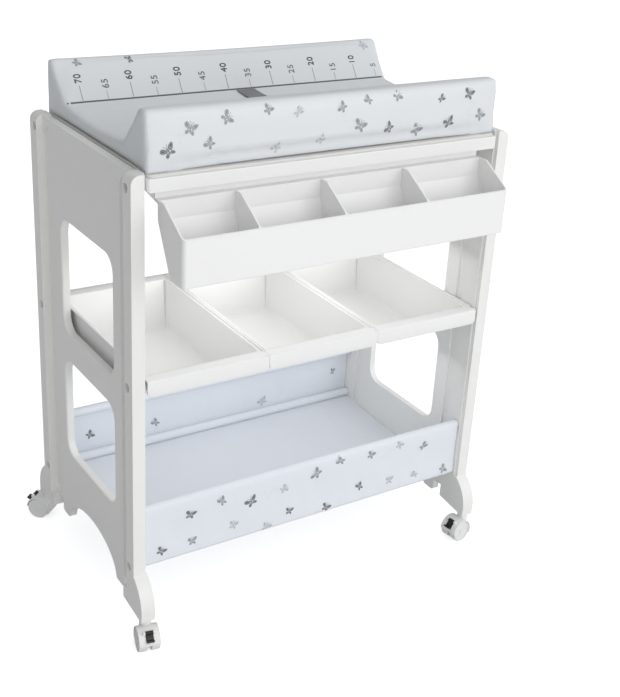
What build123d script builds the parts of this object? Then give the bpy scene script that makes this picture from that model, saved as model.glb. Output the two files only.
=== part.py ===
import math
import os

from build123d import *

os.makedirs("parts", exist_ok=True)

# A changing table with a bath, on a stand with castors. X runs along its width, Y from its front
# to its back and Z up from the floor. The pieces are drawn about the middle plane of the stand,
# and are saved with the origin on the floor under the middle of the whole object.

# Stand
stand_width = 780.0
stand_depth = 442.0
panel_thickness = 27.0
web_thickness = 15.0
post_height = 894.5
post_round = 16.0
panel_drop = 3.0
leg_width = 31.0
stile_width = 34.0
window_width = 232.0
upper_window_shares = (0.549, 0.805)
lower_window_shares = (0.2487, 0.4846)
window_round = 32.0
arch_rise = 62.0
lobe_height = 65.5
lobe_round_share = 0.2
groove_end_height = 92.5
groove_lip = 3.0
groove_top_margin = 15.0
groove_depth = 6.0
reed_depth = 4.0
reed_width = 20.0
reed_inset = 12.0
rebate_depth = 3.0
rebate_width = 9.0
edge_round = 3.5
ankle_height = 136.5
foot_height = 56.0
foot_sole_rise = 9.5
foot_length = 79.5
foot_flare = 33.0
foot_bend_shares = (0.70, 0.29)
toe_height_share = 0.12
cut_overrun = 2.0

# Cross rods, their end inserts and screws
rod_radius = 11.0
slim_rod_radius = 8.0
rod_wall = 1.5
rod_y = 200.0
shelf_rod_share = 0.5755
hem_rod_share = 0.2884
base_rod_share = 0.1666
rod_socket_depth = 8.0
rod_clearance = 0.2
insert_length = 14.0
screw_radius = 3.0
screw_fit = 0.05
screw_head_radius = 6.0
screw_head_height = 4.0
screw_recess_radius = 8.5
screw_recess_depth = 10.0
screw_length = 26.0
screw_socket_radius = 3.0

# Gap between pieces that lie on each other, and between pieces that stand beside each other
seat_gap = 0.3
side_gap = 2.0

# Bath
bath_wall = 3.5
rim_drop = 8.7
skirt_height = 23.0
rim_round = 6.0
bowl_length = 650.0
bowl_rod_gap = 10.5
bowl_round = 90.0
bowl_depth = 206.0
bowl_floor_length = 430.0
bowl_floor_width = 230.0
bowl_floor_round = 70.0
bowl_floor_shift = 65.0
saddle_width = 12.0
saddle_height = 3.5
saddle_shares = (-0.42, -0.12, 0.12, 0.42)
drain_x = 215.0
drain_radius = 17.0
drain_spout_length = 16.0
plug_flange_radius = 23.0
plug_flange_height = 4.0
plug_length = 14.0
plug_taper = 2.0
plug_ring_radius = 9.0
plug_ring_wire = 1.6
plug_fit = 0.05

# Front tray
tray_length = 666.0
tray_shift = -10.5
tray_reach = 90.0
tray_drop = 20.5
tray_front_drop = 40.0
tray_height = 82.0
tray_floor_depth = 43.0
tray_back_drop = 33.0
tray_rim_flat = 22.0
tray_wall = 3.0
tray_corner_round = 8.0
tray_bottom_round = 3.0
tray_partition_shares = (-0.288, -0.035, 0.226)
tray_upstand = 13.0
hook_width = 34.0
hook_x_share = 0.36
hook_wall = 3.0
hook_tail = 10.0
hook_link = 8.0

# Shelf trays
shelf_lip_height = 30.0
shelf_wall = 3.0
shelf_depth = 103.0
shelf_side_rim = 9.0
shelf_well_gap = 2.0
shelf_draft = 6.0
shelf_back_draft = 12.0
shelf_front_drop = 29.0
shelf_front_slope = 106.0
shelf_well_round = 12.0
shelf_floor_round = 7.0
shelf_bead_width = 4.0
shelf_bead_height = 3.0
shelf_lip_round = 9.0
shelf_gap = 0.6
shelf_back_reach = 216.0

# Basket of printed cloth
basket_cloth = 2.0
basket_end_gap = 1.5
basket_sag = 8.0

# Changing top: board, padded mat, straps and buckle
board_thickness = 4.7
board_inset = 4.0
board_round = 10.0
mat_length = 724.0
mat_base_height = 19.0
mat_crease_height = 27.0
mat_bolster_height = 104.0
mat_back_bolster_base = 78.0
mat_front_bolster_base = 100.0
mat_back_crest = 16.0
mat_front_crest = 26.0
mat_lean = 12.0
mat_crest_round = 7.5
mat_crease_round = 14.4
mat_end_round = 4.0
strap_width = 40.0
strap_thickness = 1.6
strap_x = 15.0
strap_end_gap = 8.0
buckle_length = 30.0
buckle_width = 46.0
buckle_thickness = 9.0
buckle_round = 4.0
buckle_rise = 0.8
prong_width = 8.0
prong_length = 14.0
prong_thickness = 3.0
prong_fit = 0.3

# Hinges of the changing top
hinge_x_share = 0.3
hinge_width = 50.0
hinge_wall = 1.8
hinge_leaf_length = 20.0
knuckle_radius = 4.5
knuckle_gap = 0.3
hinge_pin_radius = 2.0
hinge_pin_fit = 0.05
hinge_back_gap = 1.5
hinge_rise = 3.0
hinge_screw_radius = 1.8
hinge_screw_fit = 0.05
hinge_screw_length = 6.0

# Castors
stem_y = 240.0
stem_radius = 5.5
stem_length = 24.0
stem_seat_depth = 8.0
stem_fit = 0.05
wheel_radius = 22.3
wheel_width = 16.0
wheel_web = 7.0
wheel_gap = 0.6
wheel_dish = 1.6
wheel_rim = 4.0
wheel_tread_round = 1.5
castor_trail = 18.0
hood_wall = 2.1
hood_gap = 1.2
hood_start_angle = 4.0
hood_end_angle = 205.0
web_disc_share = 0.8
collar_radius = 11.0
collar_gap = 1.2
axle_radius = 3.0
axle_fit = 0.05
axle_head_radius = 6.0
axle_head_height = 1.2
brake_width = 14.0
brake_wall = 3.0
brake_start_angle = 26.0
brake_end_angle = 58.0
brake_pocket_angle = 10.0
brake_lip = 7.0
brake_lift = 0.7
brake_gap = 0.5
brake_ear_width = 4.0
brake_ear_radius = 3.6
brake_ear_lift = 1.8
brake_pin_radius = 1.5
brake_pin_fit = 0.05
castor_headings = {"front_left": 258.0, "front_right": 188.0, "rear_left": 132.0, "rear_right": 60.0}

# Derived places
outer_x = stand_width / 2
inner_x = outer_x - panel_thickness
web_x = inner_x + web_thickness
panel_middle_x = (outer_x + inner_x) / 2
leg_y = stand_depth / 2
leg_inner_y = leg_y - leg_width
toe_y = leg_y + foot_flare
sole_height = foot_height + foot_sole_rise
panel_height = post_height - panel_drop
foot_inner_y = toe_y - foot_length
stile_inner_y = window_width / 2
stile_outer_y = stile_inner_y + stile_width
groove_y = (stile_outer_y + leg_inner_y) / 2
groove_width = leg_inner_y - stile_outer_y
groove_top = panel_height - groove_top_margin
groove_bottom = groove_end_height + groove_lip
socket_x = inner_x + rod_socket_depth
rod_half = socket_x - rod_clearance
recess_x = outer_x - screw_recess_depth
rim_top = post_height - rim_drop
rim_bottom = rim_top - bath_wall
bath_rod_height = rim_bottom - saddle_height - seat_gap - slim_rod_radius
bowl_width = 2 * (rod_y - slim_rod_radius - bath_wall - bowl_rod_gap)
shelf_rod_height = post_height * shelf_rod_share
hem_rod_height = post_height * hem_rod_share
base_rod_height = post_height * base_rod_share
skirt_bottom = rim_top - skirt_height
bath_half_x = inner_x - side_gap
bowl_floor = rim_top - bowl_depth
drain_floor = bowl_floor - bath_wall
board_bottom = rim_top + seat_gap
mat_bottom = board_bottom + board_thickness + seat_gap
top_half_y = leg_y - board_inset
shelf_rim_top = shelf_rod_height + rod_radius + seat_gap + shelf_wall
shelf_pitch = (2 * bath_half_x + shelf_gap) / 3
hinge_y = leg_y + hinge_back_gap + knuckle_radius
hinge_z = board_bottom + hinge_rise
hinge_x = stand_width * hinge_x_share
sides = (-1, 1)

pieces = {}


def finish(name, solid):
    """Label a finished piece and keep it for saving."""
    solid.label = name
    pieces[name] = solid


def leg_outline(inner_points):
    """Close an outline whose outer side is the back of a leg and the heel of its flared foot."""
    rise = ankle_height - foot_height
    bend = (leg_y + foot_flare * foot_bend_shares[0], ankle_height - rise * foot_bend_shares[1])
    heel = ThreePointArc((leg_y, ankle_height), bend, (toe_y, foot_height + rise * toe_height_share))
    Polyline(heel @ 1, (toe_y, foot_height), *inner_points, heel @ 0)


# Side panels: one moulded board with windows, an arch, grooved stiles and flared feet
tubes = {
    "bath_rod": (slim_rod_radius, bath_rod_height),
    "shelf_rod": (rod_radius, shelf_rod_height),
    "basket_base_rod": (slim_rod_radius, base_rod_height),
}
rods = {**tubes, "basket_hem_rod": (slim_rod_radius, hem_rod_height)}

with BuildPart() as side_panel_right:
    with BuildSketch(Plane.YZ.offset(inner_x)):
        with BuildLine():
            leg_outline(
                [
                    (foot_inner_y, sole_height),
                    (foot_inner_y, groove_end_height),
                    (stile_outer_y, groove_end_height),
                    (stile_outer_y, lobe_height),
                    (0, lobe_height),
                    (0, panel_height),
                    (leg_inner_y - leg_width / 2, panel_height),
                    (leg_inner_y, post_height),
                    (leg_y, post_height),
                ]
            )
        make_face()
        mirror(about=Plane.YZ)
        with Locations((0, lobe_height)):
            Ellipse(stile_inner_y, arch_rise, mode=Mode.SUBTRACT)
        for bottom_share, top_share in (upper_window_shares, lower_window_shares):
            with Locations((0, post_height * (bottom_share + top_share) / 2)):
                RectangleRounded(
                    window_width, post_height * (top_share - bottom_share), window_round, mode=Mode.SUBTRACT
                )
    extrude(amount=web_thickness)
    window_edges = side_panel_right.faces().sort_by(Axis.X)[-1].inner_wires().edges()
    fillet(window_edges, edge_round)
    lobe_edges = side_panel_right.edges().filter_by(Axis.X)
    lobe_edges = lobe_edges.filter_by_position(Axis.Z, lobe_height - edge_round, lobe_height + edge_round)
    lobe_edges = lobe_edges.filter_by_position(Axis.Y, -stile_outer_y - edge_round, stile_outer_y + edge_round)
    fillet(lobe_edges, stile_width * lobe_round_share)
    with BuildSketch(Plane.YZ.offset(web_x)):
        with BuildLine():
            leg_outline(
                [
                    (foot_inner_y, sole_height),
                    (foot_inner_y, groove_end_height),
                    (leg_inner_y, groove_end_height),
                    (leg_inner_y, post_height),
                    (leg_y, post_height),
                ]
            )
        make_face()
        mirror(about=Plane.YZ)
    extrude(amount=panel_thickness - web_thickness)
    with BuildSketch(Plane.XZ):
        with BuildLine():
            Polyline((inner_x, 0), (outer_x, 0), (outer_x, post_height), (inner_x, post_height), close=True)
        make_face()
        fillet(vertices().group_by(Axis.X)[-1].sort_by(Axis.Y)[-1], post_round)
    extrude(amount=toe_y + cut_overrun, both=True, mode=Mode.INTERSECT)
    with BuildSketch(Plane.YZ.offset(web_x)):
        with Locations(*[(side * groove_y, (groove_top + groove_bottom) / 2) for side in sides]):
            SlotOverall(groove_top - groove_bottom, groove_width, rotation=90)
    extrude(amount=-groove_depth, mode=Mode.SUBTRACT)
    with BuildSketch(Plane.YZ.offset(inner_x)):
        with Locations(*[(side * (stile_outer_y + reed_inset), (groove_top + ankle_height) / 2) for side in sides]):
            SlotOverall(groove_top - ankle_height, reed_width, rotation=90)
    extrude(amount=reed_depth, mode=Mode.SUBTRACT)
    with BuildSketch(Plane.YZ.offset(inner_x)):
        with Locations(*[(side * (leg_y - rebate_width / 2), ankle_height) for side in sides]):
            Rectangle(rebate_width, post_height - ankle_height, align=(Align.CENTER, Align.MIN))
    extrude(amount=rebate_depth, mode=Mode.SUBTRACT)
    for radius, height in rods.values():
        with Locations(*[Plane((inner_x, side * rod_y, height), z_dir=(-1, 0, 0)) for side in sides]):
            Hole(radius + rod_clearance, depth=rod_socket_depth)
    for radius, height in tubes.values():
        with Locations(*[Plane((outer_x, side * rod_y, height), z_dir=(1, 0, 0)) for side in sides]):
            CounterBoreHole(
                screw_radius + rod_clearance, screw_recess_radius, screw_recess_depth, depth=panel_thickness
            )
    with Locations(*[Plane((panel_middle_x, side * stem_y, foot_height), z_dir=(0, 0, -1)) for side in sides]):
        Hole(stem_radius + stem_fit, depth=stem_length + cut_overrun)
finish("side_panel_right", side_panel_right.part)

with BuildPart() as side_panel_left:
    mirror(side_panel_right.part, about=Plane.YZ)
finish("side_panel_left", side_panel_left.part)

# Cross rods: thin tubes that end in sockets of the two panels
for rod_name, (radius, height) in rods.items():
    for end_name, side in zip(("front", "rear"), sides):
        with BuildPart() as rod:
            with BuildSketch(Plane.YZ):
                with Locations((side * rod_y, height)):
                    Circle(radius)
                    Circle(radius - rod_wall, mode=Mode.SUBTRACT)
            extrude(amount=rod_half, both=True)
        finish(f"{rod_name}_{end_name}", rod.part)

# Threaded inserts in the ends of the screwed tubes, and the screws through the panels
with BuildPart() as rod_inserts:
    for radius, height in tubes.values():
        for hand in sides:
            with BuildSketch(Plane.YZ.offset(hand * rod_half)):
                with Locations(*[(side * rod_y, height) for side in sides]):
                    Circle(radius - rod_wall)
                    Circle(screw_radius + screw_fit, mode=Mode.SUBTRACT)
            extrude(amount=-hand * insert_length)
finish("rod_inserts", rod_inserts.part)

with BuildPart() as rod_screws:
    for radius, height in tubes.values():
        for hand in sides:
            with BuildSketch(Plane.YZ.offset(hand * recess_x)):
                with Locations(*[(side * rod_y, height) for side in sides]):
                    Circle(screw_radius)
            extrude(amount=-hand * screw_length)
            with BuildSketch(Plane.YZ.offset(hand * recess_x)):
                with Locations(*[(side * rod_y, height) for side in sides]):
                    Circle(screw_head_radius)
            extrude(amount=hand * screw_head_height)
            with BuildSketch(Plane.YZ.offset(hand * (recess_x + screw_head_height))):
                with Locations(*[(side * rod_y, height) for side in sides]):
                    RegularPolygon(screw_socket_radius, 6)
            extrude(amount=-hand * screw_head_height / 2, mode=Mode.SUBTRACT)
finish("rod_screws", rod_screws.part)

# Bath: a rim with a skirt that lies on the rods, and a bowl with a sloping backrest at the left
with BuildPart() as bath_tub:
    with BuildSketch(Plane.XY.offset(rim_top)):
        RectangleRounded(2 * bath_half_x, stand_depth, rim_round)
    extrude(amount=-skirt_height)
    with BuildSketch(Plane.XZ):
        with BuildLine():
            Polyline(
                (-bath_half_x, skirt_bottom),
                (bath_half_x, skirt_bottom),
                (bath_half_x, rim_top),
                (-bath_half_x, rim_top),
                close=True,
            )
        make_face()
        fillet(vertices().group_by(Axis.Y)[0], rim_round)
    extrude(amount=stand_depth, both=True, mode=Mode.INTERSECT)
    fillet(bath_tub.edges().group_by(Axis.Z)[-1], bath_wall / 2)
    with BuildSketch(Plane.XY.offset(rim_bottom)):
        RectangleRounded(2 * (bath_half_x - bath_wall), stand_depth - 2 * bath_wall, rim_round - bath_wall)
    extrude(amount=-skirt_height, mode=Mode.SUBTRACT)
    with BuildSketch(Plane.XY.offset(rim_bottom)):
        with Locations(*[(share * stand_width, side * rod_y) for share in saddle_shares for side in sides]):
            Rectangle(saddle_width, 2 * slim_rod_radius)
    extrude(amount=-saddle_height)
    with BuildSketch(Plane.YZ):
        with Locations(*[(side * rod_y, bath_rod_height) for side in sides]):
            Circle(slim_rod_radius + rod_clearance)
            Rectangle(
                2 * (slim_rod_radius + rod_clearance), skirt_height, align=(Align.CENTER, Align.MAX)
            )
    extrude(amount=outer_x, both=True, mode=Mode.SUBTRACT)
    with BuildSketch(Plane.XY.offset(rim_bottom)):
        RectangleRounded(bowl_length + 2 * bath_wall, bowl_width + 2 * bath_wall, bowl_round + bath_wall)
    with BuildSketch(Plane.XY.offset(drain_floor)):
        with Locations((bowl_floor_shift, 0)):
            RectangleRounded(
                bowl_floor_length + 2 * bath_wall, bowl_floor_width + 2 * bath_wall, bowl_floor_round + bath_wall
            )
    loft()
    with BuildSketch(Plane.XY.offset(rim_top)):
        RectangleRounded(bowl_length, bowl_width, bowl_round)
    with BuildSketch(Plane.XY.offset(bowl_floor)):
        with Locations((bowl_floor_shift, 0)):
            RectangleRounded(bowl_floor_length, bowl_floor_width, bowl_floor_round)
    loft(mode=Mode.SUBTRACT)
    with Locations((drain_x, 0, drain_floor)):
        Cylinder(drain_radius + bath_wall, drain_spout_length, align=(Align.CENTER, Align.CENTER, Align.MAX))
    with Locations((drain_x, 0, bowl_floor)):
        Hole(drain_radius + plug_fit, depth=bath_wall + drain_spout_length + cut_overrun)
    with Locations(
        *[
            Plane((hand * hinge_x + end * hinge_width / 4, leg_y, rim_top - hinge_leaf_length / 2), z_dir=(0, 1, 0))
            for hand in sides
            for end in sides
        ]
    ):
        Hole(hinge_screw_radius + hinge_screw_fit, depth=bath_wall + cut_overrun)
finish("bath_tub", bath_tub.part)

with BuildPart() as drain_plug:
    with BuildSketch(Plane.XZ):
        with BuildLine():
            Polyline(
                (0, bowl_floor - plug_length),
                (drain_radius - plug_taper, bowl_floor - plug_length),
                (drain_radius, bowl_floor - bath_wall),
                (drain_radius, bowl_floor + seat_gap),
                (plug_flange_radius, bowl_floor + seat_gap),
                (plug_flange_radius, bowl_floor + seat_gap + plug_flange_height / 2),
                (0, bowl_floor + seat_gap + plug_flange_height),
                close=True,
            )
        make_face()
    revolve(axis=Axis.Z)
    ring_height = bowl_floor + plug_flange_height + plug_ring_radius - plug_ring_wire
    with Locations(Location((0, 0, ring_height), (90, 0, 0))):
        Torus(plug_ring_radius, plug_ring_wire)
finish("drain_plug", drain_plug.part.moved(Location((drain_x, 0, 0))))

# Front tray: four compartments, hung by two hooks on the front bath rod behind the skirt
tray_back = leg_y + seat_gap
tray_front = leg_y + tray_reach
tray_half = tray_length / 2
tray_back_top = bath_rod_height - tray_drop
tray_front_top = tray_back_top - tray_front_drop
tray_bottom = tray_front_top - tray_height
tray_slope_y = tray_front - tray_floor_depth
tray_slope_top = tray_back_top - tray_back_drop
walls = [-tray_half + tray_wall / 2, tray_half - tray_wall / 2]
walls[1:1] = [share * tray_length for share in tray_partition_shares]
with BuildPart() as tray_wells:
    for left, right in zip(walls[:-1], walls[1:]):
        with BuildSketch(Plane.YZ.offset(left + tray_wall / 2)):
            with BuildLine():
                Polyline(
                    (-(tray_back + tray_wall), tray_back_top + cut_overrun),
                    (-(tray_back + tray_wall), tray_slope_top),
                    (-tray_slope_y, tray_bottom + tray_wall),
                    (-(tray_front - tray_wall), tray_bottom + tray_wall),
                    (-(tray_front - tray_wall), tray_back_top + cut_overrun),
                    close=True,
                )
            make_face()
        extrude(amount=right - left - tray_wall)
    fillet(tray_wells.edges().filter_by(Axis.Z).group_by(Axis.Y)[0], tray_corner_round - tray_wall)
    fillet(tray_wells.edges().group_by(Axis.Z)[0], tray_bottom_round)

with BuildPart() as front_tray:
    with BuildSketch(Plane.YZ):
        with BuildLine():
            Polyline(
                (-tray_back, tray_back_top),
                (-tray_back, tray_slope_top),
                (-tray_slope_y, tray_bottom),
                (-tray_front, tray_bottom),
                (-tray_front, tray_front_top),
                (-(tray_back + tray_rim_flat), tray_back_top),
                close=True,
            )
        make_face()
    extrude(amount=tray_half, both=True)
    fillet(front_tray.edges().filter_by(Axis.Z).group_by(Axis.Y)[0], tray_corner_round)
    fillet(front_tray.edges().group_by(Axis.Z)[0], tray_bottom_round)
    add(tray_wells.part, mode=Mode.SUBTRACT)
    hook_inner = slim_rod_radius + seat_gap
    ledge_y = rod_y + hook_inner
    with BuildSketch(Plane.YZ):
        with Locations((-ledge_y, tray_back_top)):
            Rectangle(tray_back + tray_wall / 2 - ledge_y, tray_wall, align=(Align.MAX, Align.MAX))
        with Locations((-ledge_y, tray_back_top - tray_wall)):
            Rectangle(hook_wall, tray_wall + tray_upstand, align=(Align.MAX, Align.MIN))
    extrude(amount=tray_half, both=True)
    for hand in sides:
        with BuildSketch(Plane.YZ.offset(hand * hook_x_share * tray_length - hook_width / 2)):
            with Locations((-rod_y, bath_rod_height)):
                Circle(hook_inner + hook_wall)
                Circle(hook_inner, mode=Mode.SUBTRACT)
                Rectangle(3 * hook_inner, 3 * hook_inner, align=(Align.CENTER, Align.MAX), mode=Mode.SUBTRACT)
            with Locations((-rod_y + hook_inner, bath_rod_height)):
                Rectangle(hook_wall, hook_tail, align=(Align.MIN, Align.MAX))
            with Locations((-ledge_y, bath_rod_height)):
                Rectangle(hook_wall, bath_rod_height - tray_back_top + hook_link, align=(Align.MAX, Align.MAX))
            with Locations((-ledge_y, tray_back_top)):
                Rectangle(tray_back + tray_wall / 2 - ledge_y, hook_link, align=(Align.MAX, Align.MAX))
        extrude(amount=hook_width)
finish("front_tray", front_tray.part.moved(Location((tray_shift, 0, 0))))

# Shelf trays: three alike, each with lips that hang over the front and the rear shelf rod
tray_width = shelf_pitch - shelf_gap
well_width = tray_width - 2 * shelf_side_rim
well_depth = 2 * (rod_y - rod_radius - shelf_well_gap - shelf_wall)
shelf_middle_y = (shelf_back_reach - leg_y) / 2
shelf_reach = leg_y + shelf_back_reach
slope_fall = (shelf_depth - shelf_front_drop) / shelf_front_slope


def tray_well(margin):
    """The well of a shelf tray with its sloping front, larger than its inside by margin."""
    top = shelf_rim_top - margin
    floor = shelf_rim_top - shelf_depth - margin
    front = -well_depth / 2 - margin
    back = well_depth / 2 + margin
    side = well_width / 2 + margin
    slope_lift = margin * (math.sqrt(1 + slope_fall**2) - slope_fall)
    slope_top = shelf_rim_top - shelf_front_drop - slope_lift
    with BuildPart() as well:
        with BuildSketch(Plane.XY.offset(top)):
            RectangleRounded(well_width + 2 * margin, well_depth + 2 * margin, shelf_well_round + margin)
        extrude(amount=floor - top)
        with BuildSketch(Plane.XZ):
            with BuildLine():
                Polyline(
                    (-side, top + cut_overrun),
                    (-side + shelf_draft, floor),
                    (side - shelf_draft, floor),
                    (side, top + cut_overrun),
                    close=True,
                )
            make_face()
            fillet(vertices().group_by(Axis.Y)[0], shelf_floor_round + margin)
        extrude(amount=stand_depth, both=True, mode=Mode.INTERSECT)
        with BuildSketch(Plane.YZ):
            with BuildLine():
                Polyline(
                    (front - cut_overrun, top + cut_overrun),
                    (front - cut_overrun, slope_top + slope_fall * cut_overrun),
                    (front + (slope_top - floor) / slope_fall, floor),
                    (back - shelf_back_draft, floor),
                    (back, top + cut_overrun),
                    close=True,
                )
            make_face()
            fillet(vertices().group_by(Axis.Y)[0], shelf_floor_round + margin)
        extrude(amount=tray_width, both=True, mode=Mode.INTERSECT)
    return well.part


well_outside = tray_well(shelf_wall)
well_inside = tray_well(0)
with BuildPart() as shelf_tray:
    with BuildSketch(Plane.XY.offset(shelf_rim_top)):
        with Locations((0, shelf_middle_y)):
            RectangleRounded(tray_width, shelf_reach, shelf_lip_round)
    extrude(amount=-shelf_lip_height)
    fillet(shelf_tray.edges().group_by(Axis.Z)[-1], shelf_wall / 2)
    with BuildSketch(Plane.XY.offset(shelf_rim_top - shelf_wall)):
        with Locations((0, shelf_middle_y)):
            Rectangle(tray_width + cut_overrun, shelf_reach - 2 * shelf_wall)
    extrude(amount=-shelf_lip_height, mode=Mode.SUBTRACT)
    with BuildSketch(Plane.XZ):
        with BuildLine():
            Polyline(
                (-tray_width / 2, shelf_rim_top - shelf_lip_height),
                (tray_width / 2, shelf_rim_top - shelf_lip_height),
                (tray_width / 2, shelf_rim_top),
                (-tray_width / 2, shelf_rim_top),
                close=True,
            )
        make_face()
        fillet(vertices().group_by(Axis.Y)[0], shelf_lip_round)
    extrude(amount=stand_depth, both=True, mode=Mode.INTERSECT)
    add(well_outside)
    add(well_inside, mode=Mode.SUBTRACT)
    with BuildSketch(Plane.XY.offset(shelf_rim_top - shelf_wall / 2)):
        with Locations(*[(side * (tray_width - shelf_bead_width) / 2, shelf_middle_y) for side in sides]):
            Rectangle(shelf_bead_width, shelf_reach - 4 * shelf_lip_round)
    extrude(amount=shelf_bead_height + shelf_wall / 2)
    fillet(shelf_tray.edges().group_by(Axis.Z)[-1], shelf_bead_width / 3)
for index, place in zip((-1, 0, 1), ("left", "middle", "right")):
    finish(f"shelf_tray_{place}", shelf_tray.part.moved(Location((index * shelf_pitch, 0, 0))))

# Basket: a trough of cloth, with tunnels for its four rods and a floor that sags a little
tunnel_inner = slim_rod_radius + rod_clearance
tunnel_outer = tunnel_inner + basket_cloth
floor_height = base_rod_height - tunnel_outer
with BuildPart() as basket:
    with BuildSketch(Plane.YZ):
        with BuildLine():
            under = ThreePointArc((-rod_y, floor_height), (0, floor_height - basket_sag), (rod_y, floor_height))
            Polyline(under @ 1, (rod_y, floor_height + basket_cloth))
            over = ThreePointArc(
                (rod_y, floor_height + basket_cloth),
                (0, floor_height + basket_cloth - basket_sag),
                (-rod_y, floor_height + basket_cloth),
            )
            Polyline(over @ 1, under @ 0)
        make_face()
        with Locations(*[(side * rod_y, height) for side in sides for height in (base_rod_height, hem_rod_height)]):
            Circle(tunnel_outer)
        with Locations(*[(side * (rod_y + tunnel_outer - basket_cloth / 2), base_rod_height) for side in sides]):
            Rectangle(basket_cloth, hem_rod_height - base_rod_height, align=(Align.CENTER, Align.MIN))
        with Locations(*[(side * rod_y, height) for side in sides for height in (base_rod_height, hem_rod_height)]):
            Circle(tunnel_inner, mode=Mode.SUBTRACT)
    extrude(amount=inner_x - basket_end_gap, both=True)
finish("basket", basket.part)

# Changing top: a board that lies on the rim of the bath and a padded mat with two bolsters
leaf_top = board_bottom + seat_gap + hinge_wall
with BuildPart() as changing_board:
    with BuildSketch(Plane.XY.offset(board_bottom)):
        RectangleRounded(mat_length - 2 * board_inset, 2 * top_half_y, board_round)
    extrude(amount=board_thickness)
    fillet(changing_board.edges().group_by(Axis.Z)[-1], board_thickness / 3)
    with BuildSketch(Plane.XY.offset(board_bottom)):
        with Locations(*[(hand * hinge_x, top_half_y) for hand in sides]):
            Rectangle(hinge_width + 2 * seat_gap, 2 * (hinge_leaf_length + seat_gap))
    extrude(amount=leaf_top + seat_gap - board_bottom, mode=Mode.SUBTRACT)
    with Locations(
        *[
            (hand * hinge_x + end * hinge_width / 4, top_half_y - hinge_leaf_length / 2, board_bottom + board_thickness)
            for hand in sides
            for end in sides
        ]
    ):
        Hole(hinge_screw_radius + hinge_screw_fit)
finish("changing_board", changing_board.part)

valley_front_y = -top_half_y + mat_front_bolster_base
valley_rear_y = top_half_y - mat_back_bolster_base
valley_middle_y = (valley_front_y + valley_rear_y) / 2
valley_half = (valley_rear_y - valley_front_y) / 2
valley_sag = mat_crease_height - mat_base_height
valley_radius = (valley_half**2 + valley_sag**2) / (2 * valley_sag)
valley_centre = (valley_middle_y, mat_bottom + mat_base_height + valley_radius)
crease_height = mat_bottom + mat_crease_height
with BuildPart() as changing_mat:
    with BuildSketch(Plane.YZ):
        with BuildLine():
            valley = ThreePointArc(
                (valley_front_y, crease_height),
                (valley_middle_y, mat_bottom + mat_base_height),
                (valley_rear_y, crease_height),
            )
            crest = mat_bottom + mat_bolster_height
            Polyline(
                valley @ 1,
                (top_half_y - mat_lean - mat_back_crest, crest),
                (top_half_y - mat_lean, crest),
                (top_half_y, mat_bottom),
                (-top_half_y, mat_bottom),
                (-top_half_y + mat_lean, crest),
                (-top_half_y + mat_lean + mat_front_crest, crest),
                valley @ 0,
            )
        make_face()
        fillet(vertices().group_by(Axis.Y)[-1], mat_crest_round)
        creases = vertices().filter_by_position(Axis.Y, crease_height - seat_gap, crease_height + seat_gap)
        fillet(creases, mat_crease_round)
    extrude(amount=mat_length / 2, both=True)
    fillet(changing_mat.faces().filter_by(Axis.X).edges(), mat_end_round)
finish("changing_mat", changing_mat.part)

# Safety straps on the mat, with a buckle whose prongs sit in its socket
buckle_half = buckle_length + seat_gap / 2
strap_reach = valley_half - strap_end_gap


def strap(near, far):
    """A band on the valley of the mat, from near to far along Y."""
    with BuildPart() as band:
        with BuildSketch(Plane.YZ.offset(strap_x - strap_width / 2)):
            with Locations(valley_centre):
                Circle(valley_radius - seat_gap)
                Circle(valley_radius - seat_gap - strap_thickness, mode=Mode.SUBTRACT)
            with Locations((valley_middle_y + (near + far) / 2, mat_bottom)):
                Rectangle(far - near, mat_bolster_height, align=(Align.CENTER, Align.MIN), mode=Mode.INTERSECT)
        extrude(amount=strap_width)
    return band.part


finish("strap_front", strap(-strap_reach, -buckle_half - seat_gap))
finish("strap_rear", strap(buckle_half + seat_gap, strap_reach))

buckle_bottom = mat_bottom + mat_base_height + buckle_rise
prong_places = [(strap_x + side * buckle_width / 4, 0) for side in sides]
with BuildPart() as buckle_socket:
    with BuildSketch(Plane.XY.offset(buckle_bottom)):
        with Locations((strap_x, valley_middle_y + seat_gap / 2)):
            Rectangle(buckle_width, buckle_length, align=(Align.CENTER, Align.MIN))
        fillet(vertices(), buckle_round)
    extrude(amount=buckle_thickness)
    fillet(buckle_socket.edges().group_by(Axis.Z)[-1], buckle_round / 2)
    with BuildSketch(Plane.XZ.offset(-valley_middle_y)):
        with Locations(*[(x, buckle_bottom + buckle_thickness / 2) for x, _ in prong_places]):
            Rectangle(prong_width + 2 * prong_fit, prong_thickness + 2 * prong_fit)
    extrude(amount=-(prong_length + seat_gap + prong_fit), mode=Mode.SUBTRACT)
finish("buckle_socket", buckle_socket.part)

with BuildPart() as buckle_tongue:
    with BuildSketch(Plane.XY.offset(buckle_bottom)):
        with Locations((strap_x, valley_middle_y - seat_gap / 2)):
            Rectangle(buckle_width, buckle_length, align=(Align.CENTER, Align.MAX))
        fillet(vertices(), buckle_round)
    extrude(amount=buckle_thickness)
    fillet(buckle_tongue.edges().group_by(Axis.Z)[-1], buckle_round / 2)
    with BuildSketch(Plane.XZ.offset(-valley_middle_y + seat_gap)):
        with Locations(*[(x, buckle_bottom + buckle_thickness / 2) for x, _ in prong_places]):
            Rectangle(prong_width, prong_thickness)
    extrude(amount=-(prong_length + seat_gap))
finish("buckle_tongue", buckle_tongue.part)

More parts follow.
